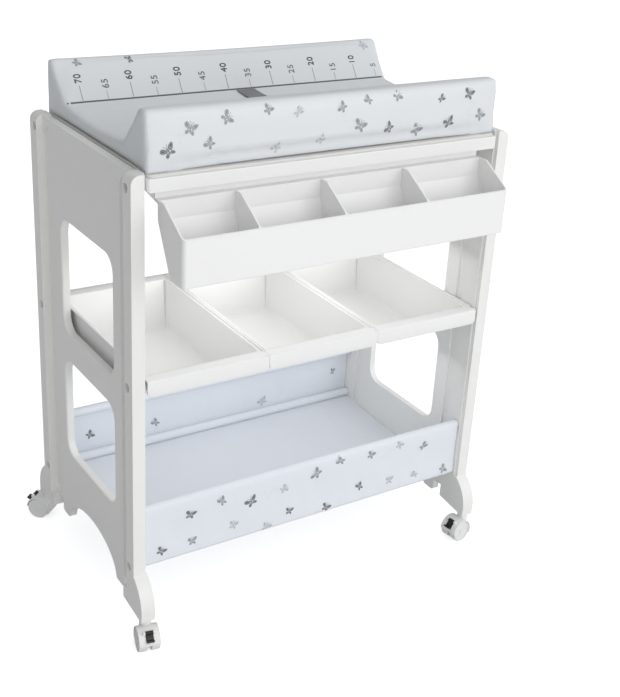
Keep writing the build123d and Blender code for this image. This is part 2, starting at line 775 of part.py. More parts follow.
# Hinges: lower leaves on the back of the bath, upper leaves let into the board, pins and screws
knuckle_width = (hinge_width - 2 * knuckle_gap) / 3
knuckle_pitch = knuckle_width + knuckle_gap
with BuildPart() as hinge_lower_leaves:
    for hand in sides:
        with BuildSketch(Plane.XZ.offset(-(leg_y + seat_gap))):
            with Locations((hand * hinge_x, rim_top - hinge_leaf_length)):
                Rectangle(
                    hinge_width,
                    hinge_z - knuckle_radius - knuckle_gap - rim_top + hinge_leaf_length,
                    align=(Align.CENTER, Align.MIN),
                )
            with Locations(*[(hand * hinge_x + end * knuckle_pitch, rim_top - hinge_leaf_length) for end in sides]):
                Rectangle(
                    knuckle_width, hinge_z - rim_top + hinge_leaf_length, align=(Align.CENTER, Align.MIN)
                )
        extrude(amount=-hinge_wall)
        for end in sides:
            with BuildSketch(Plane.YZ.offset(hand * hinge_x + end * knuckle_pitch - knuckle_width / 2)):
                with Locations((hinge_y, hinge_z)):
                    Circle(knuckle_radius)
            extrude(amount=knuckle_width)
        with BuildSketch(Plane.YZ.offset(hand * hinge_x)):
            with Locations((hinge_y, hinge_z)):
                Circle(hinge_pin_radius + hinge_pin_fit)
        extrude(amount=hinge_width, both=True, mode=Mode.SUBTRACT)
        with Locations(
            *[
                Plane(
                    (hand * hinge_x + end * hinge_width / 4, leg_y + seat_gap + hinge_wall, rim_top - hinge_leaf_length / 2),
                    z_dir=(0, 1, 0),
                )
                for end in sides
            ]
        ):
            Hole(hinge_screw_radius + hinge_screw_fit, depth=hinge_wall)
finish("hinge_lower_leaves", hinge_lower_leaves.part)

with BuildPart() as hinge_upper_leaves:
    for hand in sides:
        with BuildSketch(Plane.XY.offset(board_bottom + seat_gap)):
            with Locations((hand * hinge_x, top_half_y - hinge_leaf_length)):
                Rectangle(hinge_width, leg_y - top_half_y + hinge_leaf_length, align=(Align.CENTER, Align.MIN))
                Rectangle(knuckle_width, hinge_y - top_half_y + hinge_leaf_length, align=(Align.CENTER, Align.MIN))
        extrude(amount=hinge_wall)
        with BuildSketch(Plane.YZ.offset(hand * hinge_x)):
            with Locations((hinge_y, hinge_z)):
                Circle(knuckle_radius)
        extrude(amount=knuckle_width / 2, both=True)
        with BuildSketch(Plane.YZ.offset(hand * hinge_x)):
            with Locations((hinge_y, hinge_z)):
                Circle(hinge_pin_radius + hinge_pin_fit)
        extrude(amount=hinge_width, both=True, mode=Mode.SUBTRACT)
        with Locations(
            *[
                (hand * hinge_x + end * hinge_width / 4, top_half_y - hinge_leaf_length / 2, leaf_top)
                for end in sides
            ]
        ):
            Hole(hinge_screw_radius + hinge_screw_fit, depth=hinge_wall)
finish("hinge_upper_leaves", hinge_upper_leaves.part)

with BuildPart() as hinge_pins:
    for hand in sides:
        with BuildSketch(Plane.YZ.offset(hand * hinge_x)):
            with Locations((hinge_y, hinge_z)):
                Circle(hinge_pin_radius)
        extrude(amount=hinge_width / 2, both=True)
    chamfer(hinge_pins.edges(), hinge_pin_radius / 4)
finish("hinge_pins", hinge_pins.part)

with BuildPart() as hinge_lower_screws:
    for hand in sides:
        with BuildSketch(Plane.XZ.offset(-(leg_y + seat_gap + hinge_wall))):
            with Locations(
                *[(hand * hinge_x + end * hinge_width / 4, rim_top - hinge_leaf_length / 2) for end in sides]
            ):
                Circle(hinge_screw_radius)
        extrude(amount=hinge_screw_length)
finish("hinge_lower_screws", hinge_lower_screws.part)

with BuildPart() as hinge_upper_screws:
    for hand in sides:
        with BuildSketch(Plane.XY.offset(board_bottom + seat_gap)):
            with Locations(
                *[(hand * hinge_x + end * hinge_width / 4, top_half_y - hinge_leaf_length / 2) for end in sides]
            ):
                Circle(hinge_screw_radius)
        extrude(amount=board_thickness - 2 * seat_gap)
finish("hinge_upper_screws", hinge_upper_screws.part)

# Castors: drawn with the stem on the Z axis and the wheels trailing along X, then turned and placed
hood_inner = wheel_radius + hood_gap
hood_outer = hood_inner + hood_wall
hood_half = wheel_web / 2 + wheel_gap + wheel_width
wheel_place = (castor_trail, wheel_radius)
collar_top = foot_height - collar_gap
ear_radius_place = hood_outer + brake_ear_lift
pivot_x = castor_trail + ear_radius_place * math.cos(math.radians(brake_end_angle))
pivot_z = wheel_radius + ear_radius_place * math.sin(math.radians(brake_end_angle))


def slice_outline(radius, start, end):
    """Outline of a slice of a disc about the wheel axle, from one angle to another."""
    rim = CenterArc(wheel_place, radius, start, end - start)
    Polyline(rim @ 1, wheel_place, rim @ 0)


with BuildPart() as housing:
    with BuildSketch(Plane.XZ):
        with BuildLine():
            slice_outline(hood_outer, hood_start_angle, hood_end_angle)
        make_face()
    extrude(amount=hood_half, both=True)
    fillet(housing.edges().filter_by(GeomType.CIRCLE), hood_wall / 3)
    with Locations((0, 0, wheel_radius)):
        Cylinder(collar_radius, collar_top - wheel_radius, align=(Align.CENTER, Align.CENTER, Align.MIN))
    with BuildSketch(Plane.XZ):
        with Locations(wheel_place):
            Circle(hood_inner)
    extrude(amount=hood_half + cut_overrun, both=True, mode=Mode.SUBTRACT)
    with BuildSketch(Plane.XZ):
        with BuildLine():
            slice_outline(hood_inner + hood_wall / 2, hood_start_angle, hood_end_angle)
        make_face()
        with Locations(wheel_place):
            Circle(wheel_radius * web_disc_share)
    extrude(amount=wheel_web / 2, both=True)
    with BuildSketch(Plane.XZ):
        with BuildLine():
            slice_outline(hood_outer + hood_wall, brake_start_angle - brake_pocket_angle, brake_end_angle + brake_pocket_angle)
        make_face()
        with Locations(wheel_place):
            Circle(hood_inner, mode=Mode.SUBTRACT)
    extrude(amount=brake_width / 2 + brake_gap, both=True, mode=Mode.SUBTRACT)
    ear_middle = brake_width / 2 + brake_gap + brake_ear_width / 2
    for side in sides:
        with BuildSketch(Plane.XZ.offset(side * ear_middle)):
            with Locations((pivot_x, pivot_z)):
                Circle(brake_ear_radius)
        extrude(amount=brake_ear_width / 2, both=True)
    with BuildSketch(Plane.XZ):
        with Locations((pivot_x, pivot_z)):
            Circle(brake_pin_radius)
    extrude(amount=ear_middle, both=True)
    with BuildSketch(Plane.XZ):
        with Locations(wheel_place):
            Circle(axle_radius + axle_fit)
    extrude(amount=hood_half, both=True, mode=Mode.SUBTRACT)
    with Locations((0, 0, collar_top)):
        Hole(stem_radius + stem_fit, depth=stem_seat_depth)

with BuildPart() as stem:
    with Locations((0, 0, collar_top - stem_seat_depth)):
        Cylinder(
            stem_radius,
            stem_seat_depth + collar_gap + stem_length,
            align=(Align.CENTER, Align.CENTER, Align.MIN),
        )
    chamfer(stem.edges(), stem_radius / 6)

with BuildPart() as wheel:
    with BuildSketch(Plane.XZ.offset(wheel_web / 2 + wheel_gap)):
        with Locations(wheel_place):
            Circle(wheel_radius)
            Circle(axle_radius + axle_fit, mode=Mode.SUBTRACT)
    extrude(amount=wheel_width)
    fillet(wheel.edges().filter_by(GeomType.CIRCLE).group_by(SortBy.RADIUS)[-1], wheel_tread_round)
    with BuildSketch(Plane.XZ.offset(hood_half)):
        with Locations(wheel_place):
            Circle(wheel_radius - wheel_rim)
    extrude(amount=-wheel_dish, mode=Mode.SUBTRACT)

with BuildPart() as axle:
    head_face = hood_half - wheel_dish + seat_gap / 2
    with BuildSketch(Plane.XZ):
        with Locations(wheel_place):
            Circle(axle_radius)
    extrude(amount=head_face, both=True)
    for side in sides:
        with BuildSketch(Plane.XZ.offset(side * head_face)):
            with Locations(wheel_place):
                Circle(axle_head_radius)
        extrude(amount=side * axle_head_height)

with BuildPart() as brake:
    band_inner = hood_inner + brake_lift
    lip_angle = math.radians(brake_start_angle)
    with BuildSketch(Plane.XZ):
        with BuildLine():
            slice_outline(band_inner + brake_wall, brake_start_angle, brake_end_angle)
        make_face()
        with Locations(wheel_place):
            Circle(band_inner, mode=Mode.SUBTRACT)
        lip_middle = band_inner + (brake_wall + brake_lip) / 2
        lip_place = (
            castor_trail + lip_middle * math.cos(lip_angle),
            wheel_radius + lip_middle * math.sin(lip_angle),
        )
        with Locations(lip_place):
            Rectangle(brake_wall + brake_lip, brake_wall, rotation=brake_start_angle)
        with Locations((pivot_x, pivot_z)):
            Circle(brake_ear_radius)
    extrude(amount=brake_width / 2, both=True)
    fillet(brake.edges().group_by(Axis.X)[-1], brake_wall / 4)
    with BuildSketch(Plane.XZ):
        with Locations((pivot_x, pivot_z)):
            Circle(brake_pin_radius + brake_pin_fit)
    extrude(amount=brake_width, both=True, mode=Mode.SUBTRACT)

for castor_name, heading in castor_headings.items():
    end_name, hand_name = castor_name.split("_")
    place = Location(
        (
            panel_middle_x * (1 if hand_name == "right" else -1),
            stem_y * (1 if end_name == "rear" else -1),
            0,
        ),
        (0, 0, heading),
    )
    finish(f"castor_housing_{castor_name}", housing.part.moved(place))
    finish(f"castor_stem_{castor_name}", stem.part.moved(place))
    finish(f"castor_wheel_{castor_name}_a", wheel.part.moved(place))
    finish(f"castor_wheel_{castor_name}_b", wheel.part.mirror(Plane.XZ).moved(place))
    finish(f"castor_axle_{castor_name}", axle.part.moved(place))
    finish(f"castor_brake_{castor_name}", brake.part.moved(place))

# Save every piece with the origin on the floor under the middle of the whole object
whole = Compound(children=[Compound(piece.wrapped) for piece in pieces.values()]).bounding_box()
shift = Location((-whole.center().X, -whole.center().Y, -whole.min.Z))
for piece_name, piece in pieces.items():
    placed = piece.moved(shift)
    placed.label = piece_name
    export_step(placed, f"parts/{piece_name}.step")
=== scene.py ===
"""Looks of a changing table with a bath: finishes, padded mat, straps, basket, prints and studio."""

import logging
import math
import random
from dataclasses import dataclass, field
from enum import Enum

import bpy
import numpy as np
from mathutils import Matrix, Vector
from mathutils.bvhtree import BVHTree


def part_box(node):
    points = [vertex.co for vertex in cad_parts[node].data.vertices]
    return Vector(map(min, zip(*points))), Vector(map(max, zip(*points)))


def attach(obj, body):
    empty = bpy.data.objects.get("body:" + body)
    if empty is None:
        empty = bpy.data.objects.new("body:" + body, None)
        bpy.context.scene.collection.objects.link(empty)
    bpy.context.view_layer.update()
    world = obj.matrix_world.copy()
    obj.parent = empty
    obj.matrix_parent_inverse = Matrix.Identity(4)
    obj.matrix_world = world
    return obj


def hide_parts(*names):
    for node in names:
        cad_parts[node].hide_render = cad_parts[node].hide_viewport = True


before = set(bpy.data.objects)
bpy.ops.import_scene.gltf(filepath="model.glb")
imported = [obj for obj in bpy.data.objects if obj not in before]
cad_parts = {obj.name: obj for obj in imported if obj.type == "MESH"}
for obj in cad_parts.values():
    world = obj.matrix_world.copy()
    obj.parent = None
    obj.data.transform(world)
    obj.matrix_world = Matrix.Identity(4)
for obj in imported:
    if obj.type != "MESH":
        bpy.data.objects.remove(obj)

log = logging.getLogger("changing_table")

Piece = bpy.types.Object
Material = bpy.types.Material
Tree = bpy.types.NodeTree
Node = bpy.types.Node
Socket = bpy.types.NodeSocket
Pair = tuple[float, float]
Triple = tuple[float, float, float]


class Body(str, Enum):
    """CAD bodies that the new pieces ride on."""

    STAND = "stand"
    TOP = "changing_top"


class Ink(Enum):
    """Inks of the prints on the mat and the basket, from dark to pale."""

    LINE = "line"
    DARK = "dark"
    MID = "mid"
    PALE = "pale"


def clear_selection() -> None:
    """Leave edit mode and deselect everything."""
    if bpy.context.object and bpy.context.object.mode != "OBJECT":
        bpy.ops.object.mode_set(mode="OBJECT")
    bpy.ops.object.select_all(action="DESELECT")


def activate(piece: Piece) -> None:
    """Make one object the only selected and active one.

    Args:
        piece: The object to work on.
    """
    clear_selection()
    piece.select_set(True)
    bpy.context.view_layer.objects.active = piece


def edit(piece: Piece, selection: str = "SELECT") -> None:
    """Open a piece in edit mode.

    Args:
        piece: The piece.
        selection: "SELECT" to select all of it, "DESELECT" to select nothing.
    """
    activate(piece)
    bpy.ops.object.mode_set(mode="EDIT")
    bpy.ops.mesh.select_all(action=selection)


def outward(piece: Piece) -> None:
    """Turn every normal of a closed piece outward.

    Args:
        piece: The piece.
    """
    edit(piece)
    bpy.ops.mesh.normals_make_consistent(inside=False)
    bpy.ops.object.mode_set(mode="OBJECT")


def apply_modifiers(piece: Piece) -> None:
    """Apply every modifier of a piece in order.

    Args:
        piece: The piece.
    """
    activate(piece)
    for modifier in list(piece.modifiers):
        bpy.ops.object.modifier_apply(modifier=modifier.name)


def smooth(piece: Piece, angle: float) -> None:
    """Shade a piece smooth, with sharp edges where it turns by more than an angle in degrees."""
    activate(piece)
    bpy.ops.object.shade_smooth_by_angle(angle=math.radians(angle))


def points_of(piece: Piece) -> np.ndarray:
    """Read the vertices of a piece.

    Args:
        piece: A mesh object.

    Returns:
        An array of one row per vertex.
    """
    flat = np.empty(len(piece.data.vertices) * 3)
    piece.data.vertices.foreach_get("co", flat)
    return flat.reshape(-1, 3)


def set_points(piece: Piece, points: np.ndarray) -> None:
    """Write the vertices of a piece, one row per vertex."""
    piece.data.vertices.foreach_set("co", points.astype(np.float64).ravel())
    piece.data.update()


def add_object(name: str, data: bpy.types.ID) -> Piece:
    """Add an object to the scene.

    Args:
        name: Its name.
        data: Its mesh, lamp or camera.

    Returns:
        The object.
    """
    piece = bpy.data.objects.new(name, data)
    bpy.context.collection.objects.link(piece)
    return piece


def new_piece(name: str, points: list[Triple], faces: list[tuple[int, ...]]) -> Piece:
    """Make a piece from points in metres and faces.

    Args:
        name: Its name.
        points: Its points.
        faces: Numbers of each face's points.

    Returns:
        The piece.
    """
    mesh = bpy.data.meshes.new(name)
    mesh.from_pydata(points, [], faces)
    return add_object(name, mesh)


def new_grid(name: str, columns: int, rows: int) -> tuple[Piece, np.ndarray, np.ndarray]:
    """Add a flat grid whose points are then moved to their places.

    Args:
        name: Its name.
        columns: Number of faces along X.
        rows: Number of faces along Y.

    Returns:
        The piece, and each point's place along X and along Y, from 0 to 1.
    """
    clear_selection()
    bpy.ops.mesh.primitive_grid_add(x_subdivisions=columns, y_subdivisions=rows, size=1)
    piece = bpy.context.object
    piece.name = name
    shares = points_of(piece) + 0.5
    return piece, shares[:, 0], shares[:, 1]


def thicken(piece: Piece, thickness: float, offset: float = 0.0) -> None:
    """Give a sheet its thickness.

    Args:
        piece: The sheet.
        thickness: Its thickness in metres.
        offset: 0 to grow to both sides, -1 to grow below its face.
    """
    thick = piece.modifiers.new("thick", "SOLIDIFY")
    thick.thickness = thickness
    thick.offset = offset


def round_edges(piece: Piece, width: float, angle: float) -> None:
    """Round the edges of a piece.

    Args:
        piece: The piece.
        width: Width of the rounding in metres.
        angle: Smallest turn of a rounded edge in degrees.
    """
    edge = piece.modifiers.new("edge", "BEVEL")
    edge.width = width
    edge.segments = 2
    edge.limit_method = "ANGLE"
    edge.angle_limit = math.radians(angle)


def complete(piece: Piece, material: Material, angle: float) -> None:
    """Apply a piece's modifiers, turn it outward and dress it.

    Args:
        piece: The piece.
        material: Its material.
        angle: Largest turn in degrees that is shaded smooth.
    """
    apply_modifiers(piece)
    outward(piece)
    piece.data.materials.append(material)
    smooth(piece, angle)


def turned(a: float, b: float, angle: float) -> Pair:
    """Turn a flat point about zero by an angle in radians."""
    return a * math.cos(angle) - b * math.sin(angle), a * math.sin(angle) + b * math.cos(angle)


def triangles_of(piece: Piece) -> BVHTree:
    """The triangles of a piece, to be met by rays."""
    return BVHTree.FromObject(piece, bpy.context.evaluated_depsgraph_get())


# Finishes


def set_inputs(node: Node, values: dict[str, object]) -> None:
    """Set inputs of a node, given by their names."""
    for name, value in values.items():
        node.inputs[name].default_value = value


def add_node(tree: Tree, kind: str, values: dict[str, object]) -> Node:
    """Add a shader node.

    Args:
        tree: The node tree.
        kind: Its type, without the word ShaderNode.
        values: Values of its inputs.

    Returns:
        The node.
    """
    node = tree.nodes.new(f"ShaderNode{kind}")
    set_inputs(node, values)
    return node


def larger(tree: Tree, first: Socket, second: Socket) -> Socket:
    """The larger one of two values.

    Args:
        tree: The node tree.
        first: The first value.
        second: The second value.

    Returns:
        The result.
    """
    node = tree.nodes.new("ShaderNodeMath")
    node.operation = "MAXIMUM"
    tree.links.new(first, node.inputs[0])
    tree.links.new(second, node.inputs[1])
    return node.outputs[0]


def remap(tree: Tree, source: Socket, span: Pair, result: Pair) -> Socket:
    """Map a value from one span to another.

    Args:
        tree: The node tree.
        source: The value.
        span: Where it lies.
        result: Where the result lies.

    Returns:
        The result.
    """
    limits = {"From Min": span[0], "From Max": span[1], "To Min": result[0], "To Max": result[1]}
    node = add_node(tree, "MapRange", limits)
    tree.links.new(source, node.inputs["Value"])
    return node.outputs["Result"]


class Surface:
    """A node material in the making."""

    def __init__(self, name: str, colour: Triple, roughness: float) -> None:
        """Make the material with its main shader.

        Args:
            name: Its name.
            colour: Its base colour.
            roughness: Its middle roughness.
        """
        self.material = bpy.data.materials.new(name)
        self.material.use_nodes = True
        self.tree = self.material.node_tree
        self.shader = self.tree.nodes["Principled BSDF"]
        self.colour = colour
        self.roughness = roughness
        set_inputs(self.shader, {"Base Color": (*colour, 1), "Roughness": roughness})

    def noise(self, scale: float, detail: float, stretch: list[float] | None = None) -> Socket:
        """Add a noise in object coordinates.

        Args:
            scale: Cells per metre.
            detail: Number of octaves.
            stretch: Further factors of the scale along X, Y and Z.

        Returns:
            Its value, which is mostly between 0.3 and 0.7.
        """
        place = self.tree.nodes.new("ShaderNodeTexCoord").outputs["Object"]
        if stretch:
            mapping = add_node(self.tree, "Mapping", {"Scale": stretch})
            self.tree.links.new(place, mapping.inputs["Vector"])
            place = mapping.outputs["Vector"]
        noise = add_node(self.tree, "TexNoise", {"Scale": scale, "Detail": detail})
        self.tree.links.new(place, noise.inputs["Vector"])
        return noise.outputs["Fac"]

    def tint(self, source: Socket, factor: float) -> None:
        """Mix the base colour with a paler or darker one.

        Args:
            source: The value that mixes.
            factor: Factor from the base colour to the second one.
        """
        mix = self.tree.nodes.new("ShaderNodeMix")
        mix.data_type = "RGBA"
        second = tuple(min(1.0, part * factor) for part in self.colour)
        set_inputs(mix, {"A": (*self.colour, 1), "B": (*second, 1)})
        self.tree.links.new(source, mix.inputs["Factor"])
        self.tree.links.new(mix.outputs["Result"], self.shader.inputs["Base Color"])

    def roughen(self, source: Socket, below: float, above: float) -> None:
        """Vary the roughness about its middle.

        Args:
            source: A noise.
            below: How far it falls.
            above: How far it rises.
        """
        limits = (self.roughness - below, self.roughness + above)
        result = remap(self.tree, source, (0.3, 0.7), limits)
        self.tree.links.new(result, self.shader.inputs["Roughness"])

    def bump(self, height: Socket, strength: float, distance: float, before: Node | None = None) -> Node:
        """Add a bump.

        Args:
            height: The height value.
            strength: Strength from 0 to 1.
            distance: Height in metres of a full step.
            before: An earlier bump that this one lies on.

        Returns:
            The bump node.
        """
        bump = add_node(self.tree, "Bump", {"Strength": strength, "Distance": distance})
        self.tree.links.new(height, bump.inputs["Height"])
        if before:
            self.tree.links.new(before.outputs["Normal"], bump.inputs["Normal"])
        self.tree.links.new(bump.outputs["Normal"], self.shader.inputs["Normal"])
        return bump


@dataclass(frozen=True)
class Finish:
    """A surface finish that builds its own node material.

    Attributes:
        name: Name of the material.
        colour: Base colour, linear red, green and blue.
        roughness: Middle roughness.
    """

    name: str
    colour: Triple
    roughness: float

    def build(self) -> Material:
        """Build the material.

        Returns:
            The material.
        """
        surface = Surface(self.name, self.colour, self.roughness)
        self.work(surface)
        return surface.material

    def work(self, surface: Surface) -> None:
        """Add what makes the finish out; each kind of finish has its own."""
        raise NotImplementedError


@dataclass(frozen=True)
class MouldedPlastic(Finish):
    """Injection-moulded plastic with a fine spark-eroded grain and faint flow marks.

    Attributes:
        grain: Cells per metre of the grain.
        grain_depth: Depth of the grain in metres.
        shade: Factor of the second tone.
        gloss: Weight of a soft clear coat.
    """

    grain: float = 2600.0
    grain_depth: float = 0.00004
    shade: float = 0.96
    gloss: float = 0.0

    def work(self, surface: Surface) -> None:
        """Add flow marks, rubbed places, sink marks, grain and coat.

        Args:
            surface: The material.
        """
        surface.tint(surface.noise(5.0, 4.0), self.shade)
        surface.roughen(surface.noise(60.0, 5.0), 0.03, 0.04)
        sink = surface.bump(surface.noise(9.0, 1.0), 0.3, 0.0003)
        surface.bump(surface.noise(self.grain, 2.0), 0.25, self.grain_depth, sink)
        set_inputs(surface.shader, {"Coat Weight": self.gloss, "Coat Roughness": 0.12})
        set_inputs(surface.shader, {"Subsurface Weight": 0.06, "Subsurface Radius": (0.004, 0.004, 0.004)})


@dataclass(frozen=True)
class Metal(Finish):
    """Plated or enamelled steel with fine lines along it.

    Attributes:
        metallic: 1 for bare or plated steel, 0 for enamel.
    """

    metallic: float = 1.0

    def work(self, surface: Surface) -> None:
        """Add fine lines and stains.

        Args:
            surface: The material.
        """
        lines = surface.noise(900.0, 2.0)
        surface.roughen(lines, 0.08, 0.1)
        surface.tint(surface.noise(40.0, 4.0), 0.88)
        surface.bump(lines, 0.4, 0.00003)
        set_inputs(surface.shader, {"Metallic": self.metallic})


@dataclass(frozen=True)
class CoatedCloth(Finish):
    """Wipe-clean coated cloth: a smooth film over a fine knit, with soft waves.

    Attributes:
        waves: Depth in metres of the soft waves.
    """

    waves: float = 0.0014

    def work(self, surface: Surface) -> None:
        """Add a wash of tone, rubbed places, waves, creases and the knit.

        Args:
            surface: The material.
        """
        surface.tint(surface.noise(7.0, 3.0), 0.97)
        surface.roughen(surface.noise(45.0, 5.0), 0.07, 0.07)
        waves = surface.bump(surface.noise(11.0, 3.0), 0.35, self.waves)
        creases = surface.bump(surface.noise(70.0, 4.0), 0.3, 0.0003, waves)
        surface.bump(surface.noise(1500.0, 1.0), 0.45, 0.00005, creases)
        set_inputs(surface.shader, {"Sheen Weight": 0.08, "Sheen Roughness": 0.4})


@dataclass(frozen=True)
class WovenCloth(Finish):
    """Woven cloth with crossing threads in object coordinates.

    Attributes:
        pitch: Threads per metre.
        relief: Height of the threads in metres.
        contrast: Factor of the thread gaps' tone.
    """

    pitch: float = 900.0
    relief: float = 0.00008
    contrast: float = 0.9

    def work(self, surface: Surface) -> None:
        """Add crossing threads and soft waves.

        Args:
            surface: The material.
        """
        threads = []
        for way in range(3):
            stretch = [self.pitch * 0.08] * 3
            stretch[way] = self.pitch
            threads.append(surface.noise(1.0, 1.0, stretch))
        weave = larger(surface.tree, larger(surface.tree, threads[0], threads[2]), threads[1])
        surface.tint(weave, self.contrast)
        soft = surface.bump(surface.noise(16.0, 3.0), 0.5, 0.002)
        surface.bump(weave, 0.5, self.relief, soft)
        set_inputs(surface.shader, {"Sheen Weight": 0.25, "Sheen Roughness": 0.5})


@dataclass(frozen=True)
class PrintInk(Finish):
    """Printed ink that is a little worn."""

    def work(self, surface: Surface) -> None:
        """Add worn places.

        Args:
            surface: The material.
        """
        worn = surface.noise(420.0, 4.0)
        surface.tint(worn, 1.45)
        surface.bump(worn, 0.3, 0.00004)


@dataclass
class Palette:
    """All finishes of the object, built once."""

    panel: Finish = MouldedPlastic("panel_plastic", (0.87, 0.87, 0.85), 0.42, shade=0.98)
    bath: Finish = MouldedPlastic("bath_plastic", (0.87, 0.87, 0.86), 0.36, shade=0.98, gloss=0.05)
    tray: Finish = MouldedPlastic("tray_plastic", (0.88, 0.88, 0.87), 0.36, shade=0.98, gloss=0.1)
    wheel: Finish = MouldedPlastic("wheel_plastic", (0.82, 0.82, 0.81), 0.45, grain=1800.0)
    black: Finish = MouldedPlastic("black_plastic", (0.012, 0.012, 0.013), 0.4, shade=1.3)
    buckle: Finish = MouldedPlastic("buckle_plastic", (0.05, 0.05, 0.055), 0.38, shade=1.2)
    rubber: Finish = MouldedPlastic("soft_rubber", (0.52, 0.53, 0.54), 0.6, grain=900.0)
    enamel: Finish = Metal("white_enamel", (0.80, 0.80, 0.79), 0.3, metallic=0.0)
    zinc: Finish = Metal("zinc_plate", (0.62, 0.62, 0.63), 0.34)
    laminate: Finish = MouldedPlastic("white_laminate", (0.72, 0.71, 0.69), 0.5, grain=700.0)
    cover: Finish = CoatedCloth("mat_cover", (0.74, 0.765, 0.785), 0.38)
    cloth: Finish = WovenCloth("basket_cloth", (0.80, 0.83, 0.885), 0.6, contrast=0.95)
    webbing: Finish = WovenCloth(
        "strap_webbing", (0.20, 0.21, 0.22), 0.65, pitch=500.0, relief=0.0002, contrast=0.6
    )
    inks: dict[Ink, Finish] = field(
        default_factory=lambda: {
            Ink.LINE: PrintInk("ink_line", (0.095, 0.100, 0.108), 0.5),
            Ink.DARK: PrintInk("ink_dark", (0.200, 0.208, 0.230), 0.5),
            Ink.MID: PrintInk("ink_mid", (0.31, 0.32, 0.345), 0.5),
            Ink.PALE: PrintInk("ink_pale", (0.49, 0.505, 0.535), 0.5),
        }
    )
    built: dict[str, Material] = field(default_factory=dict)

    def of(self, finish: Finish) -> Material:
        """The material of a finish, built on first use.

        Args:
            finish: One of the palette's finishes.

        Returns:
            The material.
        """
        if finish.name not in self.built:
            self.built[finish.name] = finish.build()
        return self.built[finish.name]

    def dress(self, nodes: list[str], finish: Finish) -> None:
        """Give CAD nodes a finish.

        Args:
            nodes: Node names.
            finish: The finish for all of them.
        """
        for node in nodes:
            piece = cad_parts[node]
            piece.data.materials.clear()
            piece.data.materials.append(self.of(finish))


# Cloth and padding


@dataclass
class Padding:
    """Swells a closed mesh a little with a short cloth simulation.

    Attributes:
        voxel: Remesh size in metres.
        pressure: Inner pressure.
        cap: Furthest that a point may move, in metres.
        frames: Number of steps.
    """

    voxel: float = 0.006
    pressure: float = 4.0
    cap: float = 0.0035
    frames: int = 20

    def swell(self, piece: Piece, floor: float) -> None:
        """Remesh, inflate and cap one piece.

        Args:
            piece: The closed mesh to swell.
            floor: Height in metres that nothing goes below.
        """
        remesh = piece.modifiers.new("remesh", "REMESH")
        remesh.mode = "VOXEL"
        remesh.voxel_size = self.voxel
        apply_modifiers(piece)
        rest = points_of(piece)
        cloth = piece.modifiers.new("cloth", "CLOTH")
        cloth.point_cache.frame_end = self.frames
        settings = cloth.settings
        settings.use_pressure = True
        settings.uniform_pressure_force = self.pressure
        settings.effector_weights.gravity = 0.0
        settings.tension_stiffness = 40
        settings.compression_stiffness = 40
        settings.shear_stiffness = 20
        settings.bending_stiffness = 8
        settings.quality = 4
        scene = bpy.context.scene
        for step in range(1, self.frames + 1):
            scene.frame_set(step)
        swollen = points_of(piece.evaluated_get(bpy.context.evaluated_depsgraph_get()))
        piece.modifiers.clear()
        scene.frame_set(1)
        move = swollen - rest
        length = np.linalg.norm(move, axis=1, keepdims=True)
        settled = rest + move * np.minimum(1.0, self.cap / np.maximum(length, 1e-9))
        settled[:, 2] = np.maximum(settled[:, 2], floor)
        set_points(piece, settled)


@dataclass
class ChangingMat:
    """Padded mat with a bolster along its front and another along its back.

    Attributes:
        palette: The finishes.
        base: Height of the base at the creases, in metres.
        sag: How much lower the middle of the base lies.
        front_base: Width of the front bolster at its foot.
        rear_base: Width of the rear bolster at its foot.
        front_crest: Width of the front bolster's crest.
        rear_crest: Width of the rear bolster's crest.
        lean: How far the outer faces lean in.
        slack: How much smaller the mat is made before it swells.
        rounding: Width of the bevel along its edges.
    """

    palette: Palette
    base: float = 0.027
    sag: float = 0.008
    front_base: float = 0.100
    rear_base: float = 0.078
    front_crest: float = 0.026
    rear_crest: float = 0.016
    lean: float = 0.012
    slack: float = 0.002
    rounding: float = 0.0065
    piece: Piece | None = None

    def section(self, low: Vector, high: Vector) -> list[Pair]:
        """Outline of the mat across its length.

        Args:
            low: Lowest corner of its box.
            high: Highest corner of its box.

        Returns:
            Points as Y and Z in metres, from the front foot over both bolsters.
        """
        front, rear = low.y + self.front_base, high.y - self.rear_base
        middle, half = (front + rear) / 2, (rear - front) / 2
        inner_front, inner_rear = low.y + self.lean, high.y - self.lean
        outline = [(low.y, low.z), (inner_front, high.z), (inner_front + self.front_crest, high.z)]
        for share in (-1, -0.88, -0.7, -0.4, -0.15, 0.15, 0.4, 0.7, 0.88, 1):
            outline.append((middle + share * half, low.z + self.base - self.sag * (1 - share**2)))
        return outline + [(inner_rear - self.rear_crest, high.z), (inner_rear, high.z), (high.y, low.z)]

    def build(self) -> Piece:
        """Build the mat in place of its CAD solid.

        Returns:
            The mat.
        """
        low, high = map(Vector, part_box("changing_mat"))
        low += Vector((self.slack, self.slack, 0))
        high -= Vector((self.slack, self.slack, self.slack))
        end = [(low.x, y, z) for y, z in self.section(low, high)]
        self.piece = new_piece("padded_mat", end, [tuple(range(len(end)))])
        edit(self.piece)
        bpy.ops.mesh.extrude_region_move(TRANSFORM_OT_translate={"value": (high.x - low.x, 0, 0)})
        outward(self.piece)
        edit(self.piece, "DESELECT")
        bpy.ops.mesh.edges_select_sharp(sharpness=math.radians(30))
        bpy.ops.mesh.bevel(offset=self.rounding, segments=4, profile=0.5, affect="EDGES", clamp_overlap=True)
        outward(self.piece)
        Padding().swell(self.piece, low.z)
        self.piece.data.materials.append(self.palette.of(self.palette.cover))
        smooth(self.piece, 60)
        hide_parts("changing_mat")
        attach(self.piece, Body.TOP.value)
        return self.piece


# Prints


